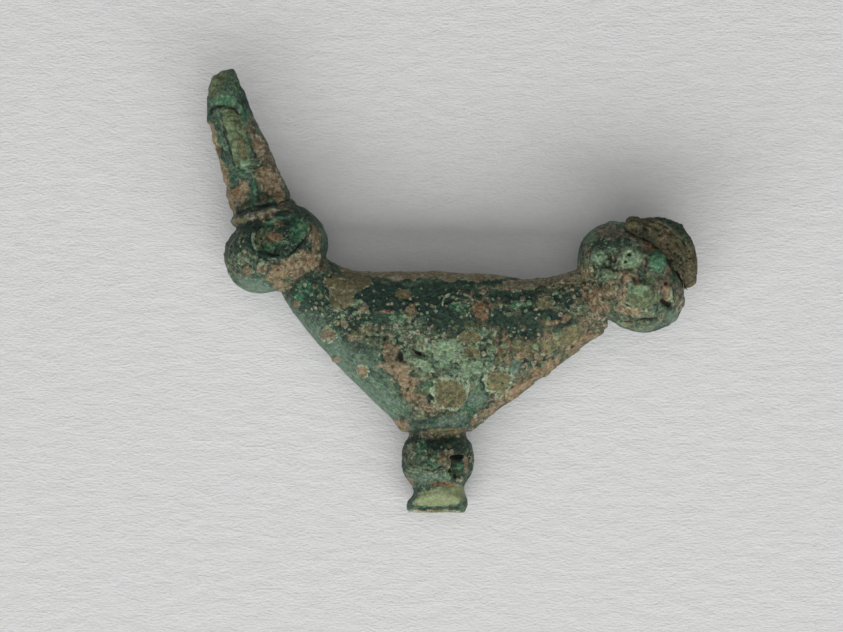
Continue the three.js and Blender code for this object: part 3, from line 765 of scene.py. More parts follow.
# Hollows, like the places, with a depth and how steep their walls are from 0 to 1.
hollows = [
    (418, 354, 5, 2, -25, 0.4, 0.7), (400, 356, 3, 5, 10, 0.35, 0.7), (663, 303, 5, 3, -20, 0.55, 0.5),
    (668, 306, 3.5, 2.5, 0, 0.5, 0.5), (627, 255.5, 3, 2, 0, 0.4, 0.5), (623, 263, 2.2, 2, 0, 0.35, 0.5),
    (643, 262, 2.5, 14, 5, 0.1, 0.3), (613, 262, 2, 9, 10, 0.15, 0.3), (619, 284, 2.5, 9, -20, 0.12, 0.3),
    (632, 279, 10, 1.8, -12, 0.06, 0.3), (624, 303, 2, 10, 20, 0.12, 0.3), (600, 250, 3, 2, 0, 0.15, 0.4),
    (664, 284, 2, 2, 0, 0.3, 0.5), (450, 471, 2, 2, 0, 0.2, 0.7), (457, 457, 7, 2.2, 0, 0.9, 0.7),
    (505, 333, 3, 3, 0, 0.2, 0.5), (386, 338, 3, 2.5, 0, 0.25, 0.5), (439, 328, 3, 3, 0, 0.2, 0.5),
    (573, 347, 3, 2, 0, 0.2, 0.5), (228, 214, 3, 3, 0, 0.15, 0.4), (608, 258, 2, 6, 0, 0.25, 0.4),
    (635, 226, 2, 6, 40, 0.25, 0.4), (430, 396, 3, 2, 0, 0.2, 0.6), (470, 352, 2, 5, 20, 0.2, 0.6),
    (524, 334, 3, 2, 0, 0.2, 0.6), (487, 346, 2, 4, -30, 0.2, 0.6),
]
# Thin lines drawn through pixels of the photograph: half width, depth in millimetres (below 0 stands
# up), how strong, then the pixels.
darkLines = [
    (1.3, 0.14, 0.9, [(212, 110), (219, 107), (227, 107), (234, 110)]),
    (1.1, 0.1, 0.7, [(234, 110), (241, 116), (247, 124)]),
    (1.1, 0.12, 0.8, [(219, 111), (223, 122), (226, 136), (231, 150), (235, 166)]),
    (1.1, 0.1, 0.7, [(247, 124), (249, 136), (252, 148), (258, 156)]),
    (1.1, 0.1, 0.7, [(238, 168), (245, 171), (253, 170), (262, 166)]),
    (1.0, 0.08, 0.6, [(235, 74), (237, 88), (241, 100), (248, 116)]),
    (1.4, 0.14, 0.9, [(240, 212.6), (246, 210), (253, 206.6), (261, 206.4), (269, 205.7), (278, 203),
                      (288, 200)]),
    (1.1, 0.08, 0.6, [(254, 178), (257, 186), (259, 196), (260, 204)]),
    (1.2, 0.1, 0.8, [(281, 260), (290, 256), (298, 249), (306, 241), (311.6, 231)]),
    (1.0, 0.05, 0.6, [(255, 228), (262, 219), (272, 213), (286, 210)]),
    (1.1, 0.1, 0.8, [(286, 210), (297, 211), (306, 215), (311, 222), (312, 231)]),
    (1.1, 0.1, 0.7, [(589, 274), (592, 283), (596, 295), (600, 304)]),
    (1.1, 0.12, 0.8, [(592, 267), (598, 269.5), (604, 268), (611, 266)]),
    (1.1, 0.1, 0.7, [(611, 266), (613, 258), (611, 250)]),
    (1.0, 0.08, 0.6, [(620, 276), (616, 284), (619, 292), (621, 302), (626, 309)]),
    (1.1, 0.06, 0.4, [(640, 247), (644, 256), (645, 266), (643, 274)]),
    (1.1, 0.2, 1.0, [(639, 319), (645, 320), (652, 319.5), (656, 318)]),
    (1.0, 0.06, 0.5, [(613, 317), (622, 319), (632, 317), (640, 318)]),
    (1.1, 0.1, 0.7, [(630, 236), (641, 240), (651, 244), (658, 248), (664, 256), (667, 266)]),
    (1.1, 0.08, 0.5, [(660, 286), (659, 293), (660, 300)]),
    (1.2, 0.12, 0.8, [(446, 302), (452, 300), (460, 299.5), (468, 302)]),
    (1.1, 0.1, 0.6, [(324, 276), (327, 290), (336, 302), (344, 309), (352, 304)]),
    (1.1, 0.1, 0.5, [(486, 372), (492, 367), (503, 367), (510, 374), (508, 384), (500, 392), (488, 393)]),
    (1.3, 0.2, 0.9, [(413, 350), (419, 354), (425, 356)]),
    (1.3, 0.15, 0.8, [(399, 350), (401, 356), (400, 362)]),
    (1.2, 0.12, 0.8, [(494, 380), (500, 378), (503, 382)]),
    (1.1, 0.1, 0.6, [(430, 372), (436, 376), (439, 383), (433, 391)]),
    (1.2, 0.12, 0.9, [(425, 470.7), (433, 470.5), (439, 468), (443, 465.7), (447, 469)]),
    (1.0, 0.06, 0.6, [(448, 455), (446, 462), (449, 470)]),
    (1.1, 0.1, 0.7, [(408, 506), (420, 508.5), (440, 508), (462, 506.5)]),
    # painted shadow under the apex knob, along the top of the stud
    (1.1, 0.06, 0.5, [(416, 489), (430, 487), (446, 486.5), (464, 486)]),
]
paleLines = [
    # partly a painted highlight: the pale line on the lit lower left edge of the setting's rim
    (1.1, -0.06, 0.9, [(255, 231), (253.5, 238), (255, 246), (260, 252), (268, 257.5), (277, 260)]),
    (1.0, -0.04, 0.6, [(262, 216), (272, 211), (288, 209), (302, 214)]),
    (1.1, -0.05, 0.9, [(443, 306), (444, 297), (452, 293), (463, 293), (472, 298), (473, 306), (468, 313)]),
    (1.0, -0.05, 0.8, [(484, 377), (489, 368), (498, 364.5), (508, 368), (513, 376)]),
    (1.0, -0.05, 0.6, [(468, 384), (467, 395), (460, 406), (450, 411)]),
    (1.0, -0.05, 0.7, [(326, 296), (336, 307), (345, 311), (353, 305), (360, 300)]),
    # painted highlight: a pale streak down the head knob's ridge
    (1.1, -0.1, 0.9, [(667, 288), (669, 294), (669, 301)]),
    (1.0, -0.08, 0.7, [(597, 272), (600, 281), (604, 285)]),
    (1.2, -0.04, 0.9, [(409, 511.5), (420, 512.6), (440, 512.4), (463, 510.5)]),
    (1.0, -0.05, 0.7, [(403, 340), (410, 346), (414, 343)]),
    (1.0, -0.05, 0.7, [(414, 362), (420, 366), (427, 364), (434, 366)]),
    (1.0, -0.05, 0.6, [(505, 356), (513, 362), (512, 372)]),
    (1.0, -0.05, 0.6, [(620, 302), (624, 309), (633, 312), (645, 311)]),
]


def seenAt(px, py):
    return (px - seenOrigin[0]) * seenScale, (seenOrigin[1] - py) * seenScale


def ellipseAway(points, place):
    # the distance from a place's middle, in its half widths: sqrt((u/a)^2 + (v/b)^2)
    px, py, halfWidth, halfHeight, turn = place[:5]
    x, y = seenAt(px, py)
    c, s = math.cos(math.radians(turn)), math.sin(math.radians(turn))
    dx, dy = points[:, 0] - x, points[:, 1] - y
    u = (dx * c + dy * s) / (halfWidth * seenScale)
    v = (dy * c - dx * s) / (halfHeight * seenScale)
    return np.hypot(u, v)


def ellipseMask(points, place, bend, soft):
    # 1 inside and 0 outside, by a smooth step of the distance, bent by noise
    return 1 - smoothstep(ellipseAway(points, place) + bend, 1 - soft, 1 + soft)


def lineMasks(points, lines, bend):
    # the strongest line at each point, by the distance from its nearest stretch, and the deepest cut
    strength, depth = np.zeros(len(points)), np.zeros(len(points))
    for halfWidth, cut, strong, pixels in lines:
        way = np.array([seenAt(*pixel) for pixel in pixels])
        low, high = way.min(0) - 1, way.max(0) + 1
        near = np.flatnonzero(((points[:, :2] > low) & (points[:, :2] < high)).all(1))
        here = points[near, :2] + bend[near]
        away = np.full(len(near), 9.0)
        for start, end in zip(way[:-1], way[1:]):
            along = end - start
            t = np.clip((here - start) @ along / (along @ along), 0, 1)
            away = np.minimum(away, np.linalg.norm(here - start - np.outer(t, along), axis=1))
        mask = smoothstep(away / seenScale, halfWidth * 1.8, halfWidth * 0.4)
        strength[near] = np.maximum(strength[near], mask * strong)
        depth[near] = np.where(mask * abs(cut) > np.abs(depth[near]), mask * cut, depth[near])
    return strength, depth


def patinaOf(points, normals):
    # every kind's mask on the upper side, and the height that its places add
    above = smoothstep(normals[:, 2], -0.5, -0.1)
    bend = 0.25 * clouds(points, 0.9, 5, 3) + 0.15 * clouds(points, 0.35, 9, 2)
    masks, rise, rim = {}, np.zeros(len(points)), np.zeros(len(points))
    for kind, places in patina.items():
        masks[kind] = np.zeros(len(points))
        kindBend, soft = bend * edgeBend.get(kind, 1), edgeSoftness.get(kind, 0.3)
        for place in places:
            mask = ellipseMask(points, place, kindBend, soft) * above
            masks[kind] = np.maximum(masks[kind], mask)
            height, paleness = (*place[5:], 0, 0)[:2]
            rise += height * smoothstep(mask, 0.1, 0.8)
            rim = np.maximum(rim, paleness * (4 * mask * (1 - mask)) ** 4)
    for kind, places in zones.items():
        masks[kind] = np.max([ellipseMask(points, place, bend, 0.6) for place in places], axis=0) * above
    masks["rim"] = rim
    masks["smooth"] = np.clip(masks["teal"] * (1 - masks["soil"]) + 0.6 * masks["olive"]
                              + 0.9 * masks["umber"] + 0.8 * masks["scar"], 0, 1)
    rise = np.minimum(rise, 0.4)
    for lump in lumps:
        # a dome: height (1 - d^2)^2
        rise += lump[5] * np.clip(1 - (ellipseAway(points, lump) + bend * 0.5) ** 2, 0, 1) ** 2 * above
    return masks, rise, above


def hollowDepth(points, normals):
    depth = np.zeros(len(points))
    bend = 0.18 * clouds(points, 0.5, 21, 2)
    for place in hollows:
        mask = ellipseMask(points, place, bend, 0.75 - 0.5 * place[6])
        depth = np.maximum(depth, mask * place[5])
    return depth * smoothstep(normals[:, 2], 0.0, 0.3)


# The casting

casting = {
    "firstVoxel": 0.2,
    "voxel": 0.168,
    "thinning": 0.69,  # of the side that rests on the table
    "crustSize": 0.9,
    "crustHeight": 0.1,
    "dentHeight": 0.12,
    "plateSize": 1.0,
    "plateHeight": 0.24,
    "plateWarp": 0.35,
    "grainSize": 0.85,
    "fineGrainShare": 0.62,
    "grainHeight": 0.11,
    "lineWander": 0.12,
}
inlaySeat = {"x": 2.3, "y": -0.75, "width": 2.4, "height": 2.5, "depth": 1.8}
inlayBead = {"x": 0.6, "y": -0.4, "radius": 0.72, "sunk": 0.3}


def castingSkins():
    bead = [apexKnob["x"] + inlayBead["x"], apexKnob["y"] + inlayBead["y"],
            apexKnob["radius"] + knobTop(apexKnob, inlayBead["x"], inlayBead["y"]) - inlayBead["sunk"]]
    return [bowSkin(), knobSkin(footKnob), knobSkin(headKnob), finialSkin(), settingSkin(), footSkin(),
            collarSkin(), catchSkin(), tipCrustSkin(), ball(bead, [inlayBead["radius"]] * 3),
            *(wartSkin(wart) for wart in warts)]


def onSetting(points):
    # each point's distance from the setting's middle in its radii, its height there and the way it faces
    centre, (side, facing, other) = settingAxes()
    away = points - centre
    share = np.hypot(away @ side, away @ other / setting["ovalness"]) / setting["radius"]
    return share, away @ facing, facing


def withSettingSunk(points):
    # what stands above the setting's face inside its rim is pressed down to the face
    share, height, facing = onSetting(points)
    target = settingHeight(share)
    press = (share < 0.98) & (height > target) & (height < setting["radius"])
    return points - np.where(press, height - target, 0)[:, None] * facing


def withSettingCrisp(points):
    # after the smoothing its face is set again, with a narrow groove outside its rim
    share, height, facing = onSetting(points)
    near = (height > -1.2) & (height < 1.6)
    move = np.where(near & (share < 0.99), settingHeight(share) - height, 0)
    groove = np.where(near, smoothstep(share, 0.98, 1.03) * smoothstep(share, 1.16, 1.06), 0)
    return points + (np.clip(move, -0.5, 0.5) - setting["grooveDepth"] * groove)[:, None] * facing


def withSeatSunk(points):
    # the square seat: inside its outline the top is lowered to a flat floor
    x = points[:, 0] - apexKnob["x"] - inlaySeat["x"]
    y = points[:, 1] - apexKnob["y"] - inlaySeat["y"]
    floor = 2 * apexKnob["radius"] - inlaySeat["depth"]
    inside = (np.abs(x) < inlaySeat["width"] / 2) & (np.abs(y) < inlaySeat["height"] / 2)
    inside &= points[:, 2] > floor
    bead = np.hypot(points[:, 0] - apexKnob["x"] - inlayBead["x"],
                    points[:, 1] - apexKnob["y"] - inlayBead["y"]) < inlayBead["radius"]
    lowered = points.copy()
    lowered[:, 2] = np.where(inside & ~bead, floor, points[:, 2])
    return lowered


def seatShade(points):
    # painted shade of the seat: how far a point of it lies below the knob's own surface
    x, y = points[:, 0] - apexKnob["x"], points[:, 1] - apexKnob["y"]
    inside = (np.abs(x - inlaySeat["x"]) < inlaySeat["width"] / 2 + 0.1)
    inside &= np.abs(y - inlaySeat["y"]) < inlaySeat["height"] / 2 + 0.1
    inside &= points[:, 2] > apexKnob["radius"]
    shaded = smoothstep(y - inlaySeat["y"], -0.9, 0.8)  # painted shade: its upper side is the darker one
    return np.where(inside, apexKnob["radius"] + knobTop(apexKnob, x, y) - points[:, 2], 0) * shaded


def storeMasks(mesh, masks):
    for name, values in masks.items():
        layer = mesh.attributes.new(name, "FLOAT", "POINT")
        layer.data.foreach_set("value", np.clip(values, 0, 1).astype(np.float32))


def keptInside(points, node):
    # CAD frame metres, held inside the node's own box
    low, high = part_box(node)
    return np.clip((points + toFrame) * 0.001, np.array(low), np.array(high))


def pieceFrom(mesh, name, node, material):
    mesh.name = name
    mesh.shade_smooth()
    mesh.materials.clear()
    mesh.materials.append(material)
    piece = bpy.data.objects.new(name, mesh)
    bpy.context.scene.collection.objects.link(piece)
    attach(piece, "root")
    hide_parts(node)
    mesh.calc_loop_triangles()
    print(name, len(mesh.loop_triangles), "triangles")


def withSeamsFilled(points, edges):
    # seams show as a strong bend; corrosion fills them and leaves the open faces alone
    bent = np.linalg.norm(relaxed(points, edges, 0.5, 14) - points, axis=1)
    seam = relaxed(smoothstep(bent, 0.03, 0.12), edges, 0.5, 6)[:, None]
    return lerp(relaxed(points, edges, 0.5, 2), relaxed(points, edges, 0.5, 9), np.clip(seam * 1.4, 0, 1))


def crustOf(points, masks, above):
    # broad clouds everywhere, taller on soil and mint, nearly none on the smooth teal, with plates
    # and grains: the height of the crust, that of its grains, and their masks
    rough = 0.6 + 0.4 * np.clip(masks["soil"] + masks["mint"] + 0.5 * masks["earth"], 0, 1)
    rough *= (1 - 0.8 * masks["smooth"]) * (1 - 0.5 * masks["dusty"])
    crust = casting["crustHeight"] * rough * clouds(points, casting["crustSize"], 31, 4)
    crust *= 1 + 0.25 * smoothstep(points[:, 1], 7, 10)  # the foot is the roughest
    crust += casting["dentHeight"] * clouds(points, 3.5, 35, 2)
    speckled = 0.5 * smoothstep(clouds(points, 6.0, 41, 2), 0, 0.6) * (1 - above)
    speckled = np.clip(np.maximum(masks["speckled"], speckled) + 0.12, 0, 1) * (1 - 0.85 * masks["smooth"])
    warp = np.stack([clouds(points, 0.8, seed, 3) for seed in (91, 95, 99)], -1)
    plate, plateEdge = plates(points + casting["plateWarp"] * warp, casting["plateSize"], 101)
    plated = masks["plated"] * (1 - 0.7 * masks["smooth"])
    crust += casting["plateHeight"] * plated * (plate - 0.5) * smoothstep(plateEdge, 0, 0.25)
    grain, grainTone = grains(points, casting["grainSize"], 51, 0.75)
    fine, fineTone = grains(points, casting["grainSize"] * casting["fineGrainShare"], 61, 0.85)
    ring = smoothstep(grain, -0.9, -0.3) * smoothstep(grain, 0.2, -0.1)  # the dark ground beside a grain
    grain, fine = smoothstep(grain, 0.02, 0.4), smoothstep(fine, 0.02, 0.5)
    return crust, casting["grainHeight"] * speckled * (grain + 0.5 * fine), {
        "plate": plate,
        "plateEdge": plated * smoothstep(plateEdge, 0.2, 0.04),
        "grainTone": grainTone,
        "ring": ring * speckled,
        "grain": grain * speckled * (grainTone > 0.2),
        "fineGrain": fine * speckled * (fineTone > 0.25),
    }


def castingMesh():
    mesh = grownTogether(meshFrom("casting", castingSkins()), casting["firstVoxel"])
    setPoints(mesh, withSeatSunk(withSettingSunk(pointsOf(mesh))))
    mesh = grownTogether(mesh, casting["voxel"])
    edges = edgesOf(mesh)
    points = withSettingCrisp(withSeamsFilled(pointsOf(mesh), edges))
    setPoints(mesh, points)
    normals = normalsOf(mesh)
    masks, rise, above = patinaOf(points, normals)
    depth = hollowDepth(points, normals)
    wander = casting["lineWander"] * np.stack([clouds(points, 0.7, seed, 2) for seed in (121, 125)], -1)
    darkLine, cut = lineMasks(points, darkLines, wander)
    paleLine, lift = lineMasks(points, paleLines, wander)
    facing = smoothstep(normals[:, 2], -0.1, 0.2)
    shown = facing * smoothstep(clouds(points, 1.0, 131, 2), -0.9, 0.1)  # the lines come and go
    rise = rise - (cut + lift) * facing
    crust, grainRise, crustMasks = crustOf(points, masks, above)
    points = points + normals * (rise + crust - depth + grainRise)[:, None]
    masks.update(crustMasks)
    masks["rim"] = np.maximum(masks["rim"], paleLine * shown)
    # dark are the hollows, the seat and a broken ring round the setting, all painted shade, and the drawn
    # lines, partly dark patina and partly painted shade in their grooves
    share, height, _ = onSetting(points)
    # painted shadow: a broken dark ring just outside the setting's rim
    beside = smoothstep(np.abs(height), 1.4, 1.0) * above * smoothstep(np.abs(share - 1.05), 0.07, 0.03)
    broken = smoothstep(clouds(points, 1.6, 111, 2), -0.5, 0.3)
    masks["deep"] = np.max([smoothstep(depth, 0.08, 0.4), 0.75 * smoothstep(seatShade(points), 0.3, 1.0),
                            darkLine * shown, 0.4 * broken * beside], axis=0)
    # painted shade: how concave each point is, for darkening the concave places
    cavityShade = ((relaxed(points, edges, 0.5, 8) - points) * normals).sum(1)
    masks["cavityShade"] = relaxed(np.clip(0.5 + cavityShade * 6, 0, 1), edges, 0.5, 1)
    setPoints(mesh, points)
    storeMasks(mesh, masks)
    hidden = np.flatnonzero(normalsOf(mesh)[:, 2] < 0)
    mesh = throughModifier(mesh, "DECIMATE", {"ratio": casting["thinning"]}, hidden)
    setPoints(mesh, keptInside(pointsOf(mesh), "bow_casting"))
    return mesh


# The spring's stump

stump = {
    "voxel": 0.11,
    "crustHeight": 0.21,
    "crustSize": 0.9,
    "foldShare": 0.9,
    "pitSize": 0.62,
    "widePitSize": 1.15,
    "pitDepth": 0.14,
    "furrowWidth": 0.16,
    "furrowDepth": 0.22,
    "nearest": 0.08,  # how far inside the swept strip's inner face the crust may go
}


def fromHeadKnob(points):
    # each point from the head knob's centre, its bearing and its distance from the upright axis
    away = points - [headKnob["x"], headKnob["y"], headKnob["radius"]]
    return away, np.arctan2(away[:, 1], away[:, 0]), np.hypot(away[:, 0], away[:, 1])


def stumpMesh():
    mesh = grownTogether(meshFrom("stump", [springSkin(), rollSkin()]), stump["voxel"])
    edges = edgesOf(mesh)
    points = relaxed(pointsOf(mesh), edges, 0.5, 5)
    setPoints(mesh, points)
    normals = normalsOf(mesh)
    # folds along the curve: noise of the arc length, the distance from the knob's axis and the height
    away, turn, bareFlat = fromHeadKnob(points)
    folds = clouds(np.stack([turn * 2.2, bareFlat * 1.4, away[:, 2] * 0.9], -1), 1.0, 77, 3)
    crust = 0.6 * clouds(points, stump["crustSize"], 71, 4) + stump["foldShare"] * folds
    # a furrow of cross-section e^-(d/width)^2 over the knob's edge, and two sizes of pits
    apart = bareFlat + 0.35 * clouds(points, 1.6, 83, 3) - headKnob["radius"] - 0.1
    furrow = np.exp(-(apart / stump["furrowWidth"]) ** 2) * smoothstep(normals[:, 2], 0.3, 0.7)
    furrow *= smoothstep(clouds(points, 1.3, 89, 2), -0.3, 0.3)
    pits = np.maximum(grains(points, stump["pitSize"], 81, 0.5, 0.15, 0.45)[0],
                      grains(points, stump["widePitSize"], 85, 0.4, 0.12, 0.4)[0])
    points = points + normals * (stump["crustHeight"] * crust - stump["furrowDepth"] * furrow
                                 - stump["pitDepth"] * smoothstep(pits, 0, 0.7))[:, None]
    # nothing closer to the knob than the gap leaves
    away, bearing, flat = fromHeadKnob(points)
    least = knobReach(np.degrees(bearing), away[:, 2]) - stump["nearest"]
    least += 0.35 * np.clip(clouds(points, 0.9, 87, 2), 0, 1)
    points[:, :2] += away[:, :2] * (np.maximum(least / flat, 1) - 1)[:, None]
    # painted shade: how concave each point is, for darkening the concave places
    cavityShade = ((relaxed(points, edges, 0.5, 8) - points) * normals).sum(1)
    setPoints(mesh, keptInside(points, "spring_stump"))
    edge = headKnob["radius"]
    # deep is painted shade in the pits and the furrow
    storeMasks(mesh, {
        "outer": smoothstep(flat, edge - 0.2, edge + 0.5) * smoothstep(turn, 0.2, 0.9),
        "cavityShade": 0.5 + cavityShade * 6,
        "deep": np.maximum(0.6 * smoothstep(pits, 0.1, 0.9), 0.55 * furrow),
    })
    return mesh


# Finishes

tones = {
    "deepGreen": (0.0125, 0.038, 0.025),
    "seaGreen": (0.034, 0.085, 0.058),
    "greyGreen": (0.0837, 0.14, 0.0894),
    "teal": (0.154, 0.229, 0.165),
    "olive": (0.142, 0.142, 0.065),
    "tan": (0.358, 0.243, 0.139),
    "paleTan": (0.412, 0.353, 0.24),
    "brown": (0.116, 0.0913, 0.0473),
    "greyBrown": (0.48, 0.45, 0.334),
    "umber": (0.115, 0.108, 0.055),
    "earthy": (0.232, 0.189, 0.0915),
    "mint": (0.211, 0.344, 0.198),
    "moss": (0.127, 0.165, 0.077),
    "mossLight": (0.243, 0.289, 0.138),
    "paleMint": (0.393, 0.487, 0.316),
    "paleYellow": (0.29, 0.33, 0.175),
    "emerald": (0.0334, 0.177, 0.0859),
    "rust": (0.242, 0.124, 0.0561),
    "darkCrust": (0.082, 0.076, 0.038),
    "paleCrust": (0.17, 0.15, 0.085),
    "dark": (0.01, 0.013, 0.008),
}


class Amount:
    # A number that varies over a surface. Sums, differences and products of it add Math nodes.
    def __init__(self, finish, socket):
        self.finish, self.socket = finish, socket

    def worked(self, operation, first, second):
        return self.finish.node("ShaderNodeMath", 0, {"operation": operation}, {0: first, 1: second})

    def __add__(self, other):
        return self.worked("ADD", self, other)

    def __sub__(self, other):
        return self.worked("SUBTRACT", self, other)

    def __rsub__(self, other):
        return self.worked("SUBTRACT", other, self)

    def __mul__(self, other):
        return self.worked("MULTIPLY", self, other)

    __radd__, __rmul__ = __add__, __mul__


class Finish:
    def __init__(self, name):
        self.material = bpy.data.materials.new(name)
        self.material.use_nodes = True
        self.tree = self.material.node_tree
        self.shader = self.tree.nodes["Principled BSDF"]
        place = self.node("ShaderNodeTexCoord", "Object")
        self.place = self.node("ShaderNodeVectorMath", 0, {"operation": "SCALE"},
                               {0: place, "Scale": 1000})  # in millimetres

    def node(self, kind, output, settings=None, inputs=None):
        made = self.tree.nodes.new(kind)
        for name, value in (settings or {}).items():
            setattr(made, name, value)
        for name, value in (inputs or {}).items():
            self.put(made.inputs[name], value)
        return Amount(self, made.outputs[output])

    def put(self, socket, value):
        if isinstance(value, Amount):
            self.tree.links.new(value.socket, socket)
        elif isinstance(value, tuple) and len(value) == 3 and socket.type == "RGBA":
            socket.default_value = (*value, 1)
        else:
            socket.default_value = value

    def mask(self, name):
        return self.node("ShaderNodeAttribute", "Fac", {"attribute_name": name})

    def cloud(self, size, detail=3, roughness=0.55):
        return self.node("ShaderNodeTexNoise", 0, {}, {
            "Vector": self.place, "Scale": 1 / size, "Detail": detail, "Roughness": roughness})

    def colourNoise(self, size, detail):
        return self.node("ShaderNodeTexNoise", "Color", {},
                         {"Vector": self.place, "Scale": 1 / size, "Detail": detail})

    def step(self, amount, low, high):
        return self.node("ShaderNodeMapRange", 0, {"interpolation_type": "SMOOTHSTEP"},
                         {"Value": amount, "From Min": low, "From Max": high})

    def mix(self, share, first, second):
        return self.node("ShaderNodeMix", 2, {"data_type": "RGBA"}, {0: share, 6: first, 7: second})

    def times(self, colour, other):
        return self.node("ShaderNodeMix", 2, {"data_type": "RGBA", "blend_type": "MULTIPLY"},
                         {0: 1.0, 6: colour, 7: other})

    def crumbs(self, size, bend):
        # cells with outlines bent by noise: three random numbers for each, and its height
        where = self.node("ShaderNodeVectorMath", 0, {"operation": "ADD"}, {0: self.place, 1: bend})
        cells = self.node("ShaderNodeTexVoronoi", "Color", {}, {"Vector": where, "Scale": 1 / size})
        apart = self.node("ShaderNodeSeparateColor", "Red", {}, {"Color": cells})
        random = [Amount(self, apart.socket.node.outputs[k]) for k in range(3)]
        return random, 1 - Amount(self, cells.socket.node.outputs["Distance"])

    def bend(self, size, reach):
        # a noise vector of a given reach in millimetres
        level = self.node("ShaderNodeVectorMath", 0, {"operation": "SUBTRACT"},
                          {0: self.colourNoise(size, 2), 1: (0.5, 0.5, 0.5)})
        return self.node("ShaderNodeVectorMath", 0, {"operation": "SCALE"}, {0: level, "Scale": reach})

    def tinged(self, colour, size, reach):
        # the colour multiplied by a coloured noise about 1, so that its hue wanders
        return self.times(colour, self.node(
            "ShaderNodeVectorMath", 0, {"operation": "MULTIPLY_ADD"},
            {0: self.colourNoise(size, 3), 1: (reach * 2,) * 3, 2: (1 - reach,) * 3}))

    def shaded(self, colour, amount):
        # the colour multiplied by a grey of that amount
        grey = self.node("ShaderNodeCombineColor", 0, {}, dict.fromkeys(range(3), amount))
        return self.times(colour, grey)

    def relief(self, height, strength, distance):
        bump = self.node("ShaderNodeBump", "Normal", {},
                         {"Height": height, "Strength": strength, "Distance": distance})
        self.put(self.shader.inputs["Normal"], bump)


def patinaFinish():
    f = Finish("green patina")
    broad, patchy, blotch = f.cloud(5.0, 3), f.cloud(1.5, 5, 0.6), f.cloud(0.9, 5, 0.65)
    fine, dust = f.cloud(0.42, 6, 0.7), f.cloud(0.2, 3, 0.75)
    (a, b, c), crumbRise = f.crumbs(0.4, f.bend(0.4, 0.6))
    smooth, speckled = f.mask("smooth"), f.mask("speckled")
    rough = 1 - smooth
    lit = 1 - 0.4 * f.mask("shade")
    ragged = (fine - 0.5) * 1.1 + (dust - 0.5) * 0.6  # eats into every patch
    # ground: dark and pale greens in blotches, some of them emerald or teal
    deepened = f.mask("deepened")
    ground = patchy * 0.85 + fine * 0.35 + a * 0.12 - deepened * 0.3
    colour = f.mix(f.step(ground, 0.45, 0.85), tones["deepGreen"], tones["greyGreen"])
    emerald = f.step(blotch + (fine - 0.5) * 0.6 + (a - 0.5) * 0.2, 0.55, 0.75)
    colour = f.mix(emerald * 0.6, colour, tones["emerald"])
    tinted = f.step(broad + b * 0.2 + (fine - 0.5) * 0.6 - deepened * 0.3, 0.55, 0.85)
    colour = f.mix(tinted * 0.5, colour, tones["teal"])
    tealGround = f.mix(f.step(fine * 0.5 + patchy * 0.5, 0.35, 0.65), tones["greyGreen"], tones["teal"])
    colour = f.mix(f.step(f.mask("teal") + ragged * 0.35, 0.2, 0.9) * 0.85, colour, tealGround)
    # plates of five tones: deep green, olive, grey green, tan and mint
    plate = f.mask("plate") + (fine - 0.5) * 0.35
    plateTone = f.mix(f.step(plate, 0.2, 0.3), tones["deepGreen"], tones["olive"])
    plateTone = f.mix(f.step(plate, 0.45, 0.55), plateTone, tones["greyGreen"])
    plateTone = f.mix(f.step(plate, 0.65, 0.75), plateTone, tones["tan"])
    plateTone = f.mix(f.step(plate, 0.85, 0.95), plateTone, tones["mint"])
    plated = f.step(f.mask("plated") + (dust - 0.5) * 0.9, 0.2, 0.9)
    colour = f.mix(plated * rough * lit * 0.6, colour, plateTone)
    # brown earth and pale dust, thicker where their zones are
    earth = b * 0.2 + f.mask("earth") * 0.5 + (patchy - 0.5) * 1.3 + (fine - 0.5) * 1.2
    earth = f.step(earth, 0.4, 0.75) * rough
    earthTone = f.mix(f.step(blotch + (fine - 0.5) * 0.5, 0.35, 0.65), tones["brown"], tones["tan"])
    colour = f.mix(earth * 0.65, colour, earthTone)
    pale = c * 0.2 + f.mask("pale") * 0.45 + (blotch - 0.5) * 1.4 + (dust - 0.5) * 1.0
    pale = f.step(pale, 0.4, 0.8) * rough
    colour = f.mix(pale * 0.55, colour, f.mix(f.step(dust, 0.3, 0.7), tones["mint"], tones["paleMint"]))
    for kind, tone, other, strength in (
            ("green", "greyGreen", "mint", 0.5), ("shade", "deepGreen", "seaGreen", 0.8),
            ("dusty", "earthy", "greyBrown", 0.85), ("brown", "brown", "greyBrown", 0.7),
            ("emerald", "emerald", "mint", 0.7), ("moss", "moss", "mossLight", 0.75),
            ("mint", "mint", "paleMint", 0.75), ("umber", "umber", "earthy", 0.95),
            ("scar", "mossLight", "paleYellow", 0.9), ("olive", "olive", "earthy", 0.9),
            ("rust", "rust", "tan", 0.7), ("soil", "tan", "paleTan", 0.75)):
        frayed = 0.25 if kind in edgeBend else 0.65
        inside = f.step(f.mask(kind) + ragged * frayed, 0.15, 0.9)
        mottle = f.mix(f.step(blotch * 0.6 + fine * 0.4, 0.42, 0.68), tones[tone], tones[other])
        if kind == "soil":
            mottle = f.mix(f.step(patchy * 0.5 + fine * 0.5, 0.56, 0.4) * 0.7, mottle, tones["brown"])
        colour = f.mix(inside * strength, colour, mottle)
    rim = f.step(f.mask("rim") + f.mask("plateEdge") * 0.5 * blotch + ragged * 0.35, 0.3, 0.8)
    colour = f.mix(rim * 0.7, colour, tones["paleMint"])
    # loose grains, olive, tan or mint
    grain = f.step(f.mask("grain") + (dust - 0.5) * 0.4, 0.35, 0.6)
    grainTone = f.mix(f.step(f.mask("grainTone"), 0.5, 0.6), tones["olive"], tones["paleTan"])
    grainTone = f.mix(f.step(f.mask("grainTone"), 0.75, 0.85), grainTone, tones["mint"])
    colour = f.mix(f.mask("ring") * 0.45, colour, tones["deepGreen"])
    colour = f.mix(grain * lit * 0.85, colour, grainTone)
    fineGrain = f.step(f.mask("fineGrain") + ragged * 0.3, 0.3, 0.6)
    colour = f.mix(fineGrain * 0.75, colour, f.mix(b, tones["paleTan"], tones["mint"]))
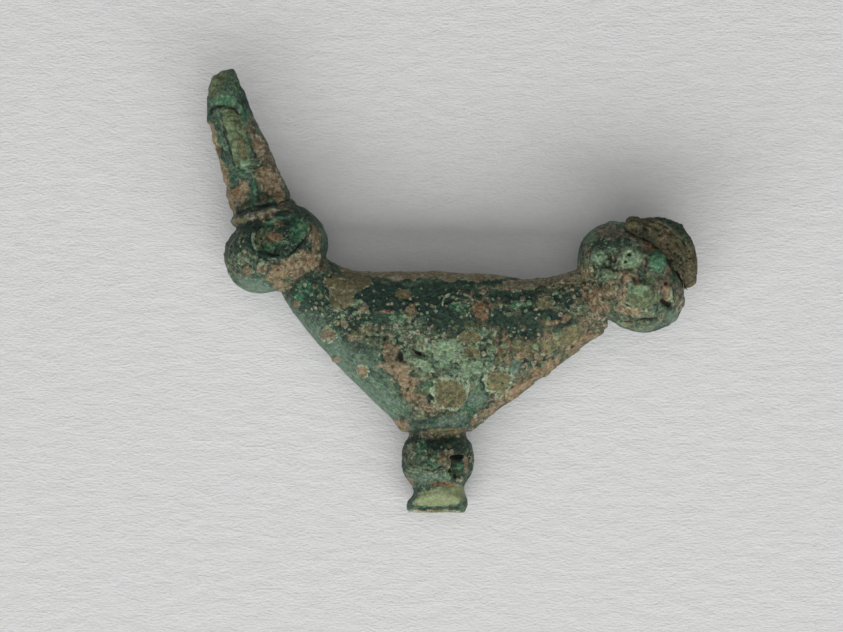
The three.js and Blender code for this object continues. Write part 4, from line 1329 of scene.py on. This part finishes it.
    # light and dark from speck to speck, dark between the crumbs, and painted shade in the hollows
    speck = 1.2 - 0.55 * f.mask("soil") - 0.4 * f.mask("teal") - 0.6 * f.mask("umber")
    speck = speck - 0.6 * f.mask("scar") - 0.35 * f.mask("mint")
    colour = f.tinged(colour, 0.35, 0.45)
    colour = f.shaded(colour, f.step(dust * 0.45 + fine * 0.55, 0.35, 0.65) * speck + (1.09 - speck * 0.5))
    cracks = f.step(crumbRise + (dust - 0.5) * 0.6, 0.35, 0.62)
    colour = f.mix((1 - cracks) * (speckled * 0.35 + 0.06), colour, tones["dark"])
    pores = f.step(f.cloud(0.36, 4, 0.65), 0.37, 0.3)
    colour = f.mix(pores * rough * (0.7 - 0.45 * f.mask("soil")), colour, tones["dark"])
    # painted shade in the concave places
    colour = f.mix(f.step(f.mask("cavityShade"), 0.56, 0.85) * 0.65, colour, tones["dark"])
    # painted shade in the hollows, the seat, the grooves and round the setting, with the dark drawn lines
    colour = f.mix(f.step(f.mask("deep") + ragged * 0.4, 0.4, 0.9) * 0.85, colour, tones["dark"])
    f.put(f.shader.inputs["Base Color"], colour)
    f.put(f.shader.inputs["Roughness"], 0.55 + 0.25 * f.mask("soil") + 0.3 * (fine - 0.5))
    relief = crumbRise * speckled * 0.5 + fine * 1.3 + dust * 0.6 - pores * 0.5
    f.relief(relief * (0.3 + 0.7 * rough), 0.9, 0.00025)
    f.put(f.shader.inputs["Specular IOR Level"], 0.35)
    return f.material


def crustFinish():
    f = Finish("brown crust")
    edge = f.mask("outer")
    broad, patchy = f.cloud(2.6, 3), f.cloud(0.9, 5, 0.6)
    fine, dust = f.cloud(0.4, 6, 0.65), f.cloud(0.15, 4, 0.75)
    (a, b, c), crumbRise = f.crumbs(0.34, f.bend(0.4, 0.5))
    # ground: two browns, deep green in broad clouds and on the outer side, and tan crumbs
    colour = f.mix(f.step(patchy + (a - 0.5) * 0.15, 0.35, 0.66), tones["darkCrust"], tones["paleCrust"])
    deep = f.step(broad + (fine - 0.5) * 0.8 + (b - 0.5) * 0.1, 0.5, 0.68)
    colour = f.mix(deep * 0.5, colour, tones["deepGreen"])
    outerTone = f.mix(f.step(fine, 0.35, 0.65), tones["deepGreen"], tones["greyGreen"])
    colour = f.mix(f.step(edge + (fine - 0.5) * 1.2 + (patchy - 0.5), 0.25, 0.7) * 0.85, colour, outerTone)
    crumb = f.step(c * 0.2 + (patchy - 0.5) * 1.4 + (fine - 0.5), 0.25, 0.6)
    colour = f.mix(crumb * 0.5, colour, tones["tan"])
    colour = f.tinged(colour, 0.35, 0.4)
    colour = f.shaded(colour, f.step(dust * 0.6 + fine * 0.4, 0.3, 0.7) * 1.0 + 0.4)
    pores = f.step(f.cloud(0.35, 5, 0.7), 0.4, 0.3)
    colour = f.mix(pores * 0.7, colour, tones["dark"])
    cracks = f.step(crumbRise + (dust - 0.5) * 0.5, 0.35, 0.62)
    colour = f.mix((1 - cracks) * 0.2, colour, tones["dark"])
    # painted shade in the concave places, then in the pits and the furrow
    colour = f.mix(f.step(f.mask("cavityShade") + (dust - 0.5) * 0.3, 0.54, 0.8) * 0.75, colour, tones["dark"])
    colour = f.mix(f.step(f.mask("deep"), 0.2, 0.8) * 0.85, colour, tones["dark"])
    f.put(f.shader.inputs["Base Color"], colour)
    f.put(f.shader.inputs["Roughness"], 0.82 + 0.2 * (fine - 0.5))
    f.relief(crumbRise * 0.3 + fine * 1.0 + dust * 0.45 - pores * 0.5, 0.85, 0.0002)
    f.put(f.shader.inputs["Specular IOR Level"], 0.3)
    return f.material


pieceFrom(castingMesh(), "bow_and_knobs", "bow_casting", patinaFinish())
pieceFrom(stumpMesh(), "spring_remains", "spring_stump", crustFinish())
print("pieces made")

# The paper it lies on, the light and the camera

paper = {"reach": 0.6, "tone": (0.80, 0.80, 0.795), "steps": 12}
light = {
    "window": {"from": (-0.03, -0.82, 0.7), "size": (2.7, 0.7), "watts": 16.7},
    "ceiling": {"from": (0.0, 0.05, 0.7), "size": (0.7, 0.7), "watts": 1.25},
    "sky": 0.115,
}
camera = {"aimedAt": (-0.003437, -0.002893), "height": 0.706, "level": 0.006, "frameWidth": 0.09695}


def paperFinish():
    f = Finish("pale paper")
    f.place = f.node("ShaderNodeVectorMath", 0, {"operation": "MULTIPLY"},
                     {0: f.place, 1: (0.55, 1.25, 1.0)})  # its fibres lie along x
    weave, fleck = f.cloud(1.6, 4, 0.6), f.cloud(0.3, 3, 0.6)
    low, high = (tuple(c * s for c in paper["tone"]) for s in (0.965, 1.02))
    f.put(f.shader.inputs["Base Color"], f.mix(f.step(fleck * 0.5 + weave * 0.5, 0.35, 0.65), low, high))
    f.put(f.shader.inputs["Roughness"], 0.9)
    f.put(f.shader.inputs["Specular IOR Level"], 0.1)
    f.relief(weave * 0.6 + fleck * 0.4, 0.75, 0.00036)
    return f.material


def paperSheet():
    side = np.linspace(-paper["reach"], paper["reach"], paper["steps"] + 1)
    x, y = np.meshgrid(side, side, indexing="ij")
    i, j = np.meshgrid(np.arange(paper["steps"]), np.arange(paper["steps"]), indexing="ij")
    row = paper["steps"] + 1
    corner = i * row + j
    faces = np.stack([corner, corner + row, corner + row + 1, corner + 1], -1).reshape(-1, 4)
    mesh = bpy.data.meshes.new("paper")
    mesh.from_pydata(np.stack([x, y, 0 * x], -1).reshape(-1, 3), [], faces.tolist())
    mesh.materials.append(paperFinish())
    sheet = bpy.data.objects.new("paper", mesh)
    bpy.context.scene.collection.objects.link(sheet)


def softLight(name):
    s = light[name]
    data = bpy.data.lights.new(name, "AREA")
    data.shape, (data.size, data.size_y), data.energy = "RECTANGLE", s["size"], s["watts"]
    lamp = bpy.data.objects.new(name, data)
    lamp.location = s["from"]
    away = lamp.location.normalized()
    lamp.rotation_euler = away.to_track_quat("Z", "Y").to_euler()
    bpy.context.scene.collection.objects.link(lamp)


def setCamera():
    data = bpy.data.cameras.new("camera")
    data.sensor_width = 36
    data.lens = data.sensor_width * (camera["height"] - camera["level"]) / camera["frameWidth"]
    data.clip_end = 10
    eye = bpy.data.objects.new("camera", data)
    eye.location = (*camera["aimedAt"], camera["height"])
    bpy.context.scene.collection.objects.link(eye)
    bpy.context.scene.camera = eye


paperSheet()
softLight("window")
softLight("ceiling")
world = bpy.data.worlds.new("room")
world.use_nodes = True
world.node_tree.nodes["Background"].inputs["Color"].default_value = (1, 1, 1, 1)
world.node_tree.nodes["Background"].inputs["Strength"].default_value = light["sky"]
bpy.context.scene.world = world
bpy.context.scene.view_settings.view_transform = "Standard"
setCamera()
print("stage set")
